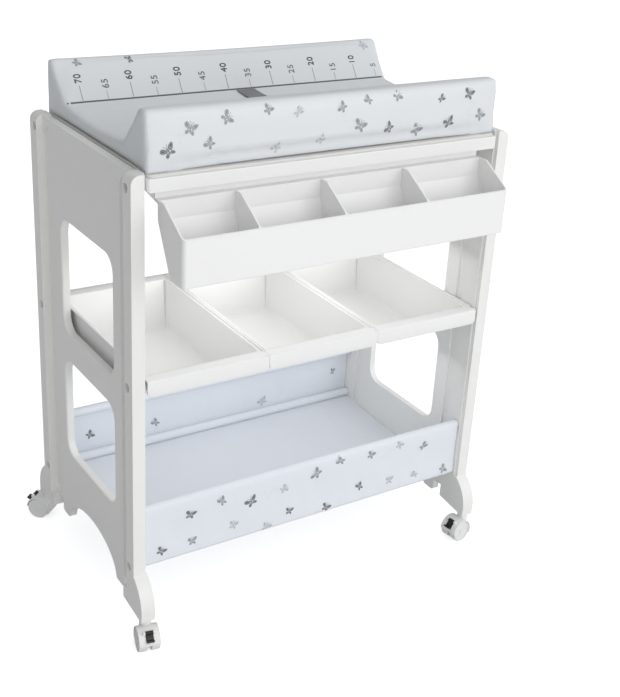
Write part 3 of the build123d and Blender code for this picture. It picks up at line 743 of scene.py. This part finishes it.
@dataclass
class PrintField:
    """A flat area that prints are laid out on and then pressed onto the cloth.

    Attributes:
        surface: The cloth's triangles.
        origin: Middle or corner of the area, in metres.
        across: Unit vector of the first direction.
        up: Unit vector of the second direction.
        lift: Distance of the ink from the cloth.
        start: How far above the area the search for the cloth starts.
        search: How far it goes.
        facing: Least cosine between the cloth's and the area's normal.
    """

    surface: BVHTree
    origin: Vector
    across: Vector
    up: Vector
    lift: float = 0.00025
    start: float = 0.05
    search: float = 0.12
    facing: float = 0.5

    def press(self, a: float, b: float, extra: float = 0.0) -> Vector | None:
        """The place on the cloth over a point of the area.

        Args:
            a: First coordinate in metres.
            b: Second coordinate in metres.
            extra: Further lift, for a second layer of ink.

        Returns:
            The place, or None beside the cloth.
        """
        normal = self.across.cross(self.up)
        above = self.origin + a * self.across + b * self.up + self.start * normal
        hit, cloth_normal, _, _ = self.surface.ray_cast(above, -normal, self.search)
        if hit is None or cloth_normal.dot(normal) < self.facing:
            return None
        return hit + cloth_normal * (self.lift + extra)


@dataclass
class InkSheet:
    """Collects printed shapes and turns them into one thin mesh.

    Attributes:
        name: Name of the piece.
        palette: The finishes.
        body: The body that it rides on.
    """

    name: str
    palette: Palette
    body: Body
    points: list[Vector] = field(default_factory=list)
    faces: list[tuple[int, ...]] = field(default_factory=list)
    tones: list[int] = field(default_factory=list)

    def add(self, places: list[Vector | None], faces: list[tuple[int, ...]], ink: Ink) -> None:
        """Add one shape, unless a part of it lies beside the cloth.

        Args:
            places: Its points on the cloth.
            faces: Its faces as numbers of its points.
            ink: The ink.
        """
        if any(place is None for place in places):
            return
        start = len(self.points)
        self.points.extend(places)
        for face in faces:
            self.faces.append(tuple(start + index for index in face))
            self.tones.append(list(Ink).index(ink))

    def patch(self, area: PrintField, outline: list[Pair], ink: Ink, extra: float = 0.0) -> None:
        """Print one filled outline.

        Args:
            area: Where it is laid out.
            outline: Corners in order, in metres, star-shaped about their mean.
            ink: The ink.
            extra: Further lift.
        """
        count = len(outline)
        middle = (sum(a for a, _ in outline) / count, sum(b for _, b in outline) / count)
        places = [area.press(a, b, extra) for a, b in [middle, *outline]]
        self.add(places, [(0, 1 + index, 1 + (index + 1) % count) for index in range(count)], ink)

    def stroke(self, area: PrintField, line: list[Pair], width: float, ink: Ink) -> None:
        """Print a line of a given width.

        Args:
            area: Where it is laid out.
            line: Its points in order.
            width: Its width in metres.
            ink: The ink.
        """
        for (a0, b0), (a1, b1) in zip(line[:-1], line[1:]):
            length = math.hypot(a1 - a0, b1 - b0) or 1.0
            sa, sb = -(b1 - b0) / length * width / 2, (a1 - a0) / length * width / 2
            corners = [(a0 + sa, b0 + sb), (a1 + sa, b1 + sb), (a1 - sa, b1 - sb), (a0 - sa, b0 - sb)]
            self.add([area.press(a, b) for a, b in corners], [(0, 1, 2, 3)], ink)

    def build(self) -> Piece:
        """Make the mesh of all shapes.

        Returns:
            The printed piece.
        """
        piece = new_piece(self.name, [tuple(point) for point in self.points], self.faces)
        for ink in Ink:
            piece.data.materials.append(self.palette.of(self.palette.inks[ink]))
        piece.data.polygons.foreach_set("material_index", self.tones)
        piece.data.update()
        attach(piece, self.body.value)
        return piece


@dataclass(frozen=True)
class Butterfly:
    """A plain butterfly drawn from ovals.

    Attributes:
        at: Its middle.
        size: Wing span in metres.
        turn: Turn in radians.
        ink: Ink of its wings.
        fold: 1 with open wings, less when seen from the side.
    """

    at: Pair
    size: float
    turn: float
    ink: Ink
    fold: float

    def place(self, a: float, b: float) -> Pair:
        """Fold, turn, scale and move a point of the drawing, given as shares of the span."""
        a, b = turned(a * self.fold, b, self.turn)
        return self.at[0] + a * self.size, self.at[1] + b * self.size

    def oval(self, middle: Pair, radii: Pair, lean: float) -> list[Pair]:
        """An oval of the drawing with a slightly wavy edge.

        Args:
            middle: Its middle, as shares of the span.
            radii: Its half axes, as shares of the span.
            lean: Its own turn in radians.

        Returns:
            The outline in metres.
        """
        outline = []
        corners = 18
        for step in range(corners):
            angle = 2 * math.pi * step / corners
            wave = 1 + 0.07 * math.cos(3 * angle)
            a, b = turned(radii[0] * wave * math.cos(angle), radii[1] * wave * math.sin(angle), lean)
            outline.append(self.place(a + middle[0], b + middle[1]))
        return outline

    def draw(self, sheet: InkSheet, area: PrintField) -> None:
        """Print the butterfly.

        Args:
            sheet: The sheet of ink that it goes on.
            area: Where it is laid out.
        """
        order = list(Ink)
        inner = order[order.index(self.ink) - 1]
        second, third = 0.00008, 0.00016
        for side in (-1, 1):
            sheet.patch(area, self.oval((0.27 * side, 0.17), (0.25, 0.155), 0.68 * side), self.ink)
            sheet.patch(area, self.oval((0.19 * side, -0.19), (0.165, 0.115), -0.75 * side), self.ink)
            sheet.patch(area, self.oval((0.31 * side, 0.20), (0.095, 0.055), 0.68 * side), inner, second)
            sheet.patch(area, self.oval((0.21 * side, -0.21), (0.055, 0.035), -0.75 * side), inner, second)
            horn = [self.place(a * side, b) for a, b in ((0.02, 0.20), (0.07, 0.34), (0.16, 0.42))]
            sheet.stroke(area, horn, self.size * 0.03, Ink.MID)
        sheet.patch(area, self.oval((0.0, 0.0), (0.035, 0.24), 0.0), inner, third)


@dataclass
class Scatter:
    """Scatters butterflies and dotted trails over an area.

    Attributes:
        sheet: The sheet of ink.
        area: Where they are laid out.
        width: Width of the area in metres.
        height: Height of the area in metres.
        pitch: Usual distance between butterflies.
        seed: Seed of the layout.
        size: Usual wing span.
    """

    sheet: InkSheet
    area: PrintField
    width: float
    height: float
    pitch: float
    seed: int
    size: float = 0.026

    def draw(self) -> None:
        """Print the whole area."""
        dice = random.Random(self.seed)
        columns = max(1, round(self.width / self.pitch))
        rows = max(1, round(self.height / (self.pitch * 0.8)))
        tones = [Ink.DARK, Ink.MID, Ink.DARK, Ink.PALE, Ink.MID]
        side, end = self.size * 0.6, self.size * 0.45
        count = 0
        for row in range(rows):
            shift = 0.5 if row % 2 else 0.0
            for column in range(columns):
                a = (column + 0.5 + shift + dice.uniform(-0.28, 0.28)) / columns * self.width
                b = (row + 0.5 + dice.uniform(-0.3, 0.3)) / rows * self.height
                if not side < a < self.width - side or not end < b < self.height - end:
                    continue
                tone = tones[(count + dice.randrange(2)) % len(tones)]
                size = self.size * dice.uniform(0.8, 1.12)
                turn = dice.uniform(-1.1, 1.1)
                Butterfly((a, b), size, turn, tone, dice.choice((1.0, 0.9, 0.6))).draw(self.sheet, self.area)
                if count % 4 == 1:
                    self.trail(a, b, turn, dice.choice((-1, 1)))
                count += 1

    def trail(self, a: float, b: float, turn: float, side: int) -> None:
        """Print a dotted flight line behind a butterfly.

        Args:
            a: First coordinate of the butterfly.
            b: Second coordinate of the butterfly.
            turn: Its turn in radians.
            side: 1 or -1 for the side that the line bends to first.
        """
        course = turn - math.pi / 2 + 0.5 * side
        start, length, swing, steps = 0.014, 0.034, 0.009, 21
        line = []
        for step in range(steps + 1):
            share = step / steps
            bend = swing * math.sin(2.6 * math.pi * share) * side
            along, aside = turned(start + length * share, bend, course)
            line.append((a + along, b + aside))
        for dot in range(0, steps - 1, 2):
            self.sheet.stroke(self.area, line[dot : dot + 2], 0.0007, Ink.PALE)


@dataclass
class Ruler:
    """Centimetre ruler printed on the inner face of the rear bolster.

    Attributes:
        sheet: The sheet of ink.
        area: The face of the bolster.
        zero: Where the zero of the ruler is along the area.
        left: Left end of its base line.
        right: Right end of its base line.
        base: Height of the base line's middle.
        foot: Lower end of the marks.
        short: Upper end of the short marks.
        long: Upper end of the long marks.
        letter: Size of the numbers.
    """

    sheet: InkSheet
    area: PrintField
    zero: float
    left: float
    right: float
    base: float = 0.0025
    foot: float = 0.0055
    short: float = 0.0215
    long: float = 0.0345
    letter: float = 0.0185

    def numeral(self, text: str, a: float, b: float, ink: Ink, weight: float) -> None:
        """Print a number that reads upward.

        Args:
            text: The number.
            a: Its middle along the ruler.
            b: Its lower end.
            ink: The ink.
            weight: Distance between the copies that thicken the strokes.
        """
        clear_selection()
        bpy.ops.object.text_add()
        letters = bpy.context.object
        letters.data.body = text
        letters.data.size = self.letter
        letters.data.space_character = 1.04
        bpy.ops.object.convert(target="MESH")
        letters = bpy.context.object
        edit(letters)
        bpy.ops.mesh.quads_convert_to_tris()
        bpy.ops.object.mode_set(mode="OBJECT")
        corners = points_of(letters)
        faces = [tuple(polygon.vertices) for polygon in letters.data.polygons]
        middle = (corners[:, 1].min() + corners[:, 1].max()) / 2
        left = corners[:, 0].min()
        for slip in (-weight, 0.0, weight):
            flat = [(float(a - y + middle + slip), float(b + x - left)) for x, y, _ in corners]
            self.sheet.add([self.area.press(*point) for point in flat], faces, ink)
        bpy.data.objects.remove(letters)

    def draw(self) -> None:
        """Print the line, the marks and the numbers."""
        steps = 90
        length = self.right - self.left
        line = [(self.left + length * step / steps, self.base) for step in range(steps + 1)]
        self.sheet.stroke(self.area, line, 0.0034, Ink.LINE)
        for mark in range(5, 75, 5):
            a = self.zero - mark / 100
            ten = mark % 10 == 0
            top = self.long if ten else self.short
            line = [(a, self.foot + (top - self.foot) * step / 4) for step in range(5)]
            self.sheet.stroke(self.area, line, 0.0011, Ink.DARK if ten else Ink.MID)
            self.numeral(str(mark), a, top + 0.005, Ink.LINE if ten else Ink.DARK, 0.0007 if ten else 0.0004)


@dataclass
class MatPrints:
    """All prints on the mat.

    Attributes:
        palette: The finishes.
        mat: The mat.
        ruler_zero: How far the ruler's zero lies right of the mat's middle.
        upper: Where the butterflies above the ruler start on the slope.
    """

    palette: Palette
    mat: ChangingMat
    ruler_zero: float = 0.3812
    upper: float = 0.064

    def build(self) -> Piece:
        """Print the ruler and the butterflies.

        Returns:
            The printed piece.
        """
        mat = self.mat
        surface = triangles_of(mat.piece)
        low, high = map(Vector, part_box("changing_mat"))
        length, tall, rise = high.x - low.x, high.z - low.z, high.z - low.z - mat.base
        crease = low.z + mat.base
        right, left = Vector((1, 0, 0)), Vector((-1, 0, 0))
        sheet = InkSheet("mat_print", self.palette, Body.TOP)

        inner = Vector((0, mat.rear_base - mat.lean - mat.rear_crest, rise)).normalized()
        slope = PrintField(surface, Vector((0, high.y - mat.rear_base, crease)), right, inner)
        zero = (low.x + high.x) / 2 + self.ruler_zero
        Ruler(sheet, slope, zero, low.x + 0.004, high.x - 0.002).draw()
        upper = PrintField(surface, slope.origin + Vector((low.x, 0, 0)) + inner * self.upper, right, inner)
        Scatter(sheet, upper, length, 0.026, pitch=0.100, seed=12, size=0.023).draw()

        outer = Vector((0, mat.lean, tall)).normalized()
        front = PrintField(surface, low, right, outer)
        Scatter(sheet, front, length, 0.108, pitch=0.074, seed=5).draw()
        outer = Vector((0, -mat.lean, tall)).normalized()
        back = PrintField(surface, Vector((high.x, high.y, low.z)), left, outer)
        Scatter(sheet, back, length, 0.108, pitch=0.083, seed=8).draw()
        inner = Vector((0, -(mat.front_base - mat.lean - mat.front_crest), rise)).normalized()
        ridge = PrintField(surface, Vector((high.x, low.y + mat.front_base, crease)), left, inner)
        Scatter(sheet, ridge, length, 0.095, pitch=0.092, seed=31).draw()

        printed = sheet.build()
        return printed


@dataclass
class Basket:
    """Cloth basket that hangs on its four rods.

    Attributes:
        palette: The finishes.
        radius: Distance of the cloth's middle from a rod's axis.
        thickness: Thickness of the cloth.
        hem: Width of the hem below the upper rods.
        inset: Gap between the cloth and the ends of its CAD solid.
        columns: Number of faces along the cloth.
        wrap: Turn in degrees of a tunnel strip about its rod.
    """

    palette: Palette
    radius: float = 0.0089
    thickness: float = 0.0009
    hem: float = 0.020
    inset: float = 0.0012
    columns: int = 96
    wrap: float = 216
    piece: Piece | None = None

    def rod_axis(self, node: str) -> Pair:
        """Y and Z in metres of the axis of a rod, given by its node."""
        low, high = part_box(node)
        return (low[1] + high[1]) / 2, (low[2] + high[2]) / 2

    def section(self) -> list[Pair]:
        """The cloth's path across the basket, from the front hem to the rear one.

        Returns:
            Points as Y and Z in metres.
        """
        front_y, top_z = self.rod_axis("basket_hem_rod_front")
        rear_y, _ = self.rod_axis("basket_hem_rod_rear")
        _, base_z = self.rod_axis("basket_base_rod_front")
        r = self.radius
        hem_z = top_z - self.hem - 0.002
        half = [(front_y - r + 0.0014, hem_z + step * (self.hem - 0.004) / 3) for step in range(3)]
        half.append((front_y + r * 0.6, top_z - r * 0.8))
        half += self.arc(front_y, top_z, -20, 200, 8)
        wall = 16
        half += [(front_y - r, top_z + (base_z - top_z) * step / wall) for step in range(1, wall)]
        half += self.arc(front_y, base_z, 180, 90, 6)
        middle = (front_y + rear_y) / 2
        floor = 14
        for step in range(1, floor + 1):
            share = step / floor
            sag = 0.0065 * (1 - (1 - share) ** 2)
            half.append((front_y + (middle - front_y) * share, base_z - r - sag))
        return half + [(2 * middle - y, z) for y, z in reversed(half[:-1])]

    def arc(self, y: float, z: float, start: float, turn: float, steps: int) -> list[Pair]:
        """The cloth's path around a rod.

        Args:
            y: Y of the rod's axis.
            z: Z of the rod's axis.
                turn: How far it turns, in degrees.
            steps: Number of its parts.

        Returns:
            Its points as Y and Z in metres.
        """
        angles = [math.radians(start + step * turn / steps) for step in range(steps + 1)]
        return [(y + self.radius * math.cos(angle), z + self.radius * math.sin(angle)) for angle in angles]

    def build(self) -> Piece:
        """Build the basket in place of its CAD solid.

        Returns:
            The basket.
        """
        low, high = map(Vector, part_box("basket"))
        path = self.section()
        self.piece, share, across = new_grid("cloth_basket", self.columns, len(path) - 1)
        row = np.rint(across * (len(path) - 1)).astype(int)
        y, z = np.array(path)[row].T
        width = high.x - low.x - 2 * self.inset
        x = low.x + self.inset + share * width
        middle, reach = (y.min() + y.max()) / 2, (y.max() - y.min()) / 2
        base, top = z.min(), z.max()

        foot, brim = 0.016, 0.030
        wall = (z > base + foot) & (z < top - brim)
        outer = wall & (np.abs(np.abs(y - middle) - reach) < 0.0005)
        depth = np.sin(np.pi * np.clip((z - base - foot) / (top - base - foot - brim), 0, 1))
        wave = 0.0011 * np.sin(23 * x + 1.0) + 0.0007 * np.sin(61 * x + 0.4)
        wave += 0.0004 * np.sin(140 * x + 31 * z)
        inward = np.where(y < middle, 1.0, -1.0)
        y = y + np.where(outer, inward * (0.0014 + wave) * depth, 0.0)

        floor_top, floor_reach, highest = 0.0125, 0.185, 0.0015
        floor = (z < base + floor_top) & (np.abs(y - middle) < floor_reach)
        pucker = 0.0012 * np.sin(31 * x + 0.7 * np.sin(40 * y)) + 0.0008 * np.sin(17 * y + 12 * x)
        z = z + np.where(floor, np.minimum(pucker, highest), 0.0)
        set_points(self.piece, np.column_stack([x, y, z]))
        thicken(self.piece, self.thickness)
        complete(self.piece, self.palette.of(self.palette.cloth), 60)
        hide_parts("basket")
        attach(self.piece, Body.STAND.value)
        return self.piece

    def tunnel(self, end: str) -> Piece:
        """Lay the strip of cloth that closes the tunnel of one base rod.

        Args:
            end: "front" or "rear".

        Returns:
            The strip.
        """
        rod = f"basket_base_rod_{end}"
        low, high = map(Vector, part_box("basket"))
        rod_y, rod_z = self.rod_axis(rod)
        strip, share, around = new_grid(f"basket_tunnel_{end}", self.columns, 14)
        angle = np.radians(153 - around * self.wrap)
        inset = self.inset + 0.0004
        width = high.x - low.x - 2 * inset
        x = low.x + inset + share * width
        slack = 0.0003 * np.sin(47 * x) * np.sin(np.pi * around)
        reach = self.radius + np.abs(slack)
        inward = 1 if end == "front" else -1
        y, z = rod_y + inward * reach * np.cos(angle), rod_z + reach * np.sin(angle)
        set_points(strip, np.column_stack([x, y, z]))
        thicken(strip, self.thickness)
        complete(strip, self.palette.of(self.palette.cloth), 60)
        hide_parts("basket")
        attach(strip, Body.STAND.value)
        return strip

    def prints(self) -> Piece:
        """Print butterflies on the cloth.

        Returns:
            The printed piece.
        """
        surface = triangles_of(self.piece)
        low, high = map(Vector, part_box("basket"))
        length, height = high.x - low.x, high.z - low.z
        right, left, up = Vector((1, 0, 0)), Vector((-1, 0, 0)), Vector((0, 0, 1))
        sheet = InkSheet("basket_print", self.palette, Body.STAND)
        Scatter(sheet, PrintField(surface, low, right, up), length, height, 0.075, 44).draw()
        inside = PrintField(surface, Vector((low.x, high.y - 0.02, low.z + 0.02)), right, up)
        Scatter(sheet, inside, length, height - 0.05, 0.190, 45).draw()
        rear = PrintField(surface, Vector((high.x, high.y, low.z)), left, up)
        Scatter(sheet, rear, length, height, 0.075, 46).draw()
        printed = sheet.build()
        return printed


@dataclass
class SafetyStraps:
    """Webbing strap across the mat, in two halves that meet in the buckle.

    Attributes:
        palette: The finishes.
        mat: The mat that it lies on.
        width: Width of the webbing.
        thickness: Thickness of the webbing.
        gap: Gap between the webbing and the mat.
    """

    palette: Palette
    mat: ChangingMat
    width: float = 0.040
    thickness: float = 0.0016
    gap: float = 0.0004

    def band(self, name: str, node: str) -> Piece:
        """Lay one half of the strap on the mat.

        Args:
            name: Name of the piece.
            node: The CAD node it stands for.

        Returns:
            The strap.
        """
        low, high = map(Vector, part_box(node))
        surface = triangles_of(self.mat.piece)
        piece, across, along = new_grid(name, 8, 40)
        x = (low.x + high.x) / 2 + (across - 0.5) * self.width
        y = low.y + along * (high.y - low.y)
        down = Vector((0, 0, -1))
        z = np.array([surface.ray_cast(Vector((a, b, high.z + 0.1)), down)[0].z for a, b in zip(x, y)])
        arch = np.sin(np.pi * along)
        z += self.thickness * 0.5 + self.gap + 0.0012 * arch + 0.0003 * np.sin(90 * y) * arch
        set_points(piece, np.column_stack([x, y, z]))
        thicken(piece, self.thickness)
        round_edges(piece, 0.0004, 30)
        complete(piece, self.palette.of(self.palette.webbing), 50)
        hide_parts(node)
        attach(piece, Body.TOP.value)
        return piece

    def build(self) -> None:
        """Lay both halves of the strap."""
        self.band("front_strap", "strap_front")
        self.band("rear_strap", "strap_rear")


@dataclass
class ShelfTray:
    """Moulded shelf tray: hooked lips over both rods, a well with a sloping front, beads on its side rims.

    Attributes:
        palette: The finishes.
        lip: Height of the lips below the rim.
        wall: Thickness of the wall.
        bead: Height of the beads above the rim.
        corner: Radius of the lips' lower corners.
    """

    palette: Palette
    lip: float = 0.030
    wall: float = 0.003
    bead: float = 0.003
    corner: float = 0.009

    def across(self, width: float) -> list[Pair]:
        """The tray's section along X: beads, rims, side walls and floor.

        Args:
            width: Width of the tray.

        Returns:
            Distances from its left edge, each with its height over the rim.
        """
        half = [(0, 0), (0, 1.5), (0.4, 2.6), (1.4, 3), (2.6, 3), (3.6, 2.6), (4, 1.5), (4.2, 0)]
        half += [(8.6, 0), (9.3, -1), (14.6, -95), (15.4, -99), (17.4, -102), (21, -103)]
        half += [(60, -103), (90, -103)]
        left = [(a / 1000, b / 1000) for a, b in half]
        return left + [(width - a, b) for a, b in reversed(left)]

    def along(self, reach: float) -> list[Pair]:
        """The tray's section along Y: front lip, hook, sloping front, floor, back wall and rear lip.

        Args:
            reach: Length of the tray over both lips.

        Returns:
            Distances from its front, each with its height over the rim.
        """
        front = [(0, -30), (0, -16), (0, -4), (1.2, -1.2), (4, 0), (17, 0), (18.5, 0), (21, 0), (26.5, -1)]
        front += [(31.1 + step * 16.5, -4.2 - step * 13.45) for step in range(8)]
        front += [(150, -101.2), (156, -102.7), (164, -103), (230, -103), (300, -103)]
        rear = [(50, -103), (46.5, -102), (44.4, -99), (43.6, -95), (32.8, -1), (32, 0), (18.5, 0), (17, 0)]
        rear += [(4, 0), (1.2, -1.2), (0, -4), (0, -16), (0, -30)]
        return [(a / 1000, b / 1000) for a, b in front] + [(reach - a / 1000, b / 1000) for a, b in rear]

    def build(self, place: str) -> Piece:
        """Build one tray in place of its CAD solid.

        Args:
            place: "left", "middle" or "right".

        Returns:
            The tray.
        """
        node = f"shelf_tray_{place}"
        low, high = map(Vector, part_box(node))
        width, reach = high.x - low.x, high.y - low.y
        columns, rows = np.array(self.across(width)), np.array(self.along(reach))
        piece, share_x, share_y = new_grid(f"moulded_{node}", len(columns) - 1, len(rows) - 1)
        x, side = columns[np.rint(share_x * (len(columns) - 1)).astype(int)].T
        y, length = rows[np.rint(share_y * (len(rows) - 1)).astype(int)].T
        bead_end, front_hook, rear_hook = 0.018, 0.0275, 0.031
        beaded = (y > bead_end) & (y < reach - bead_end)
        hooked = (y < front_hook) | (y > reach - rear_hook)
        z = np.where(side > 0, np.where(beaded, side, length), np.maximum(side, length))
        z = np.where(hooked & ~(beaded & (side > 0)), length, z)
        inset = np.clip(self.corner - np.minimum(x, width - x), 0, self.corner)
        lowest = length <= -self.lip
        z = np.where(lowest & hooked, z + self.corner - np.sqrt(self.corner**2 - inset**2), z)
        set_points(piece, np.column_stack([low.x + x, low.y + y, high.z - self.bead + z]))
        thicken(piece, self.wall, -1.0)
        round_edges(piece, 0.0006, 40)
        complete(piece, self.palette.of(self.palette.tray), 35)
        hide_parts(node)
        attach(piece, node)
        return piece


@dataclass
class Hardware:
    """Finishes of the hard CAD pieces.

    Attributes:
        palette: The finishes.
    """

    palette: Palette

    def build(self) -> None:
        """Give each hard piece its finish."""
        palette = self.palette
        for start, part, finish in (
            ("side_panel_", "", palette.panel),
            ("", "_rod_", palette.enamel),
            ("rod_", "", palette.zinc),
            ("bath_tub", "", palette.bath),
            ("drain_plug", "", palette.rubber),
            ("", "tray", palette.tray),
            ("changing_board", "", palette.laminate),
            ("buckle_", "", palette.buckle),
            ("hinge_", "", palette.enamel),
            ("hinge_", "screws", palette.zinc),
            ("castor_", "housing", palette.panel),
            ("castor_", "wheel", palette.wheel),
            ("castor_", "axle", palette.wheel),
            ("castor_", "brake", palette.black),
            ("castor_", "stem", palette.zinc),
        ):
            nodes = [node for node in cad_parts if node.startswith(start) and part in node]
            palette.dress(nodes, finish)


# Studio


@dataclass(frozen=True)
class Lamp:
    """A soft rectangular lamp aimed at a point, out of the camera's sight.

    Attributes:
        name: Its name.
        place: Where it stands.
        aim: What it points at.
        size: Its two sides in metres.
        power: Power in watts.
    """

    name: str
    place: Triple
    aim: Triple
    size: Pair
    power: float

    def build(self) -> None:
        """Hang the lamp."""
        data = bpy.data.lights.new(self.name, "AREA")
        data.shape = "RECTANGLE"
        data.size, data.size_y = self.size
        data.energy = self.power
        lamp = add_object(self.name, data)
        lamp.visible_camera = False
        lamp.location = self.place
        lamp.rotation_euler = (Vector(self.aim) - Vector(self.place)).to_track_quat("-Z", "Y").to_euler()


@dataclass
class Studio:
    """Camera, lamps, pale floor and white surroundings.

    Attributes:
        place: Where the camera stands, in metres.
        heading: Its azimuth in degrees, from +Y towards +X.
        dip: How far it looks down, in degrees.
        roll: Its roll in degrees.
        focal: Focal length in pixels of the picture.
        middle: The picture's optical centre in pixels.
        picture: Width and height of the picture in pixels.
        ambient: Least and greatest strength of the surroundings' light.
        bright_side: Where the surroundings are brightest.
        floor_side: Side of the floor in metres.
        floor_glow: How much of its own light the floor shows to the camera.
    """

    place: Triple = (-1.12647, -1.83525, 1.44850)
    heading: float = 34.015
    dip: float = 24.132
    roll: float = 3.503
    focal: float = 1178.2
    middle: Pair = (312.65, 325.94)
    picture: tuple[int, int] = (620, 697)
    ambient: Pair = (0.22, 1.05)
    bright_side: Triple = (0.55, -0.75, 0.45)
    floor_side: float = 16
    floor_glow: float = 0.62

    def camera(self) -> None:
        """Place the camera."""
        heading, dip, roll = (math.radians(angle) for angle in (self.heading, self.dip, self.roll))
        ahead = Vector((math.sin(heading) * math.cos(dip), math.cos(heading) * math.cos(dip), -math.sin(dip)))
        level = Vector((math.cos(heading), -math.sin(heading), 0))
        upright = level.cross(ahead)
        right = math.cos(roll) * level + math.sin(roll) * upright
        up = -math.sin(roll) * level + math.cos(roll) * upright
        data = bpy.data.cameras.new("camera")
        long_side = max(self.picture)
        data.lens = self.focal * data.sensor_width / long_side
        data.shift_x = (self.picture[0] / 2 - self.middle[0]) / long_side
        data.shift_y = (self.middle[1] - self.picture[1] / 2) / long_side
        data.clip_end = 50
        camera = add_object("camera", data)
        turn = Matrix((right, up, -ahead)).transposed().to_4x4()
        camera.matrix_world = Matrix.Translation(self.place) @ turn
        bpy.context.scene.camera = camera

    def surroundings(self) -> None:
        """White for the camera and through glass, softer and uneven as light."""
        world = bpy.data.worlds.new("surroundings")
        bpy.context.scene.world = world
        world.use_nodes = True
        tree = world.node_tree
        tree.nodes.clear()
        link = tree.links.new
        toward = tree.nodes.new("ShaderNodeVectorMath")
        toward.operation = "DOT_PRODUCT"
        toward.inputs[1].default_value = Vector(self.bright_side).normalized()
        link(tree.nodes.new("ShaderNodeTexCoord").outputs["Generated"], toward.inputs[0])
        light = add_node(tree, "Background", {"Color": (0.98, 0.99, 1.0, 1)})
        link(remap(tree, toward.outputs["Value"], (-0.6, 1.0), self.ambient), light.inputs["Strength"])
        seen = add_node(tree, "Background", {"Color": (1, 1, 1, 1), "Strength": 1.0})
        rays = tree.nodes.new("ShaderNodeLightPath")
        either = larger(tree, rays.outputs["Is Camera Ray"], rays.outputs["Is Transmission Ray"])
        mix = tree.nodes.new("ShaderNodeMixShader")
        link(either, mix.inputs["Fac"])
        link(light.outputs[0], mix.inputs[1])
        link(seen.outputs[0], mix.inputs[2])
        link(mix.outputs[0], tree.nodes.new("ShaderNodeOutputWorld").inputs["Surface"])

    def floor(self) -> None:
        """A wide pale floor that keeps the object's shadow."""
        clear_selection()
        bpy.ops.mesh.primitive_plane_add(size=self.floor_side)
        floor = bpy.context.object
        floor.name = "studio_floor"
        material = bpy.data.materials.new("floor_paper")
        material.use_nodes = True
        tree = material.node_tree
        tree.nodes.clear()
        link = tree.links.new
        paper = add_node(tree, "BsdfDiffuse", {"Color": (0.78, 0.78, 0.78, 1)})
        glow = add_node(tree, "Emission", {"Color": (1, 1, 1, 1)})
        rays = tree.nodes.new("ShaderNodeLightPath")
        shown = remap(tree, rays.outputs["Is Camera Ray"], (0, 1), (0, self.floor_glow))
        link(shown, glow.inputs["Strength"])
        both = tree.nodes.new("ShaderNodeAddShader")
        link(paper.outputs[0], both.inputs[0])
        link(glow.outputs[0], both.inputs[1])
        link(both.outputs[0], tree.nodes.new("ShaderNodeOutputMaterial").inputs["Surface"])
        floor.data.materials.append(material)

    def build(self) -> None:
        """Set up the whole studio."""
        bpy.context.scene.view_settings.view_transform = "Standard"
        self.camera()
        self.surroundings()
        self.floor()
        Lamp("key", (1.9, -3.2, 1.7), (0.1, 0, 0.55), (1.8, 1.8), 16.0).build()
        Lamp("front", (-0.3, -3.0, 1.0), (0.05, 0, 0.5), (1.0, 1.6), 12.0).build()
        Lamp("over_shelf", (0, 0, 0.64), (0, 0, 0), (0.68, 0.36), 0.62).build()
        Lamp("over_basket", (0, 0, 0.40), (0, 0, 0), (0.68, 0.36), 0.46).build()


def main() -> None:
    """Build every piece in order."""
    logging.basicConfig(level=logging.INFO, format="%(name)s: %(message)s")
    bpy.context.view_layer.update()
    palette = Palette()
    Hardware(palette).build()
    log.info("hard pieces finished")
    for place in ("left", "middle", "right"):
        log.info("built %s", ShelfTray(palette).build(place).name)
    mat = ChangingMat(palette)
    log.info("built %s", mat.build().name)
    log.info("built %s", MatPrints(palette, mat).build().name)
    SafetyStraps(palette, mat).build()
    log.info("built straps")
    basket = Basket(palette)
    log.info("built %s", basket.build().name)
    for end in ("front", "rear"):
        log.info("built %s", basket.tunnel(end).name)
    log.info("built %s", basket.prints().name)
    Studio().build()


if __name__ == "__main__":
    main()
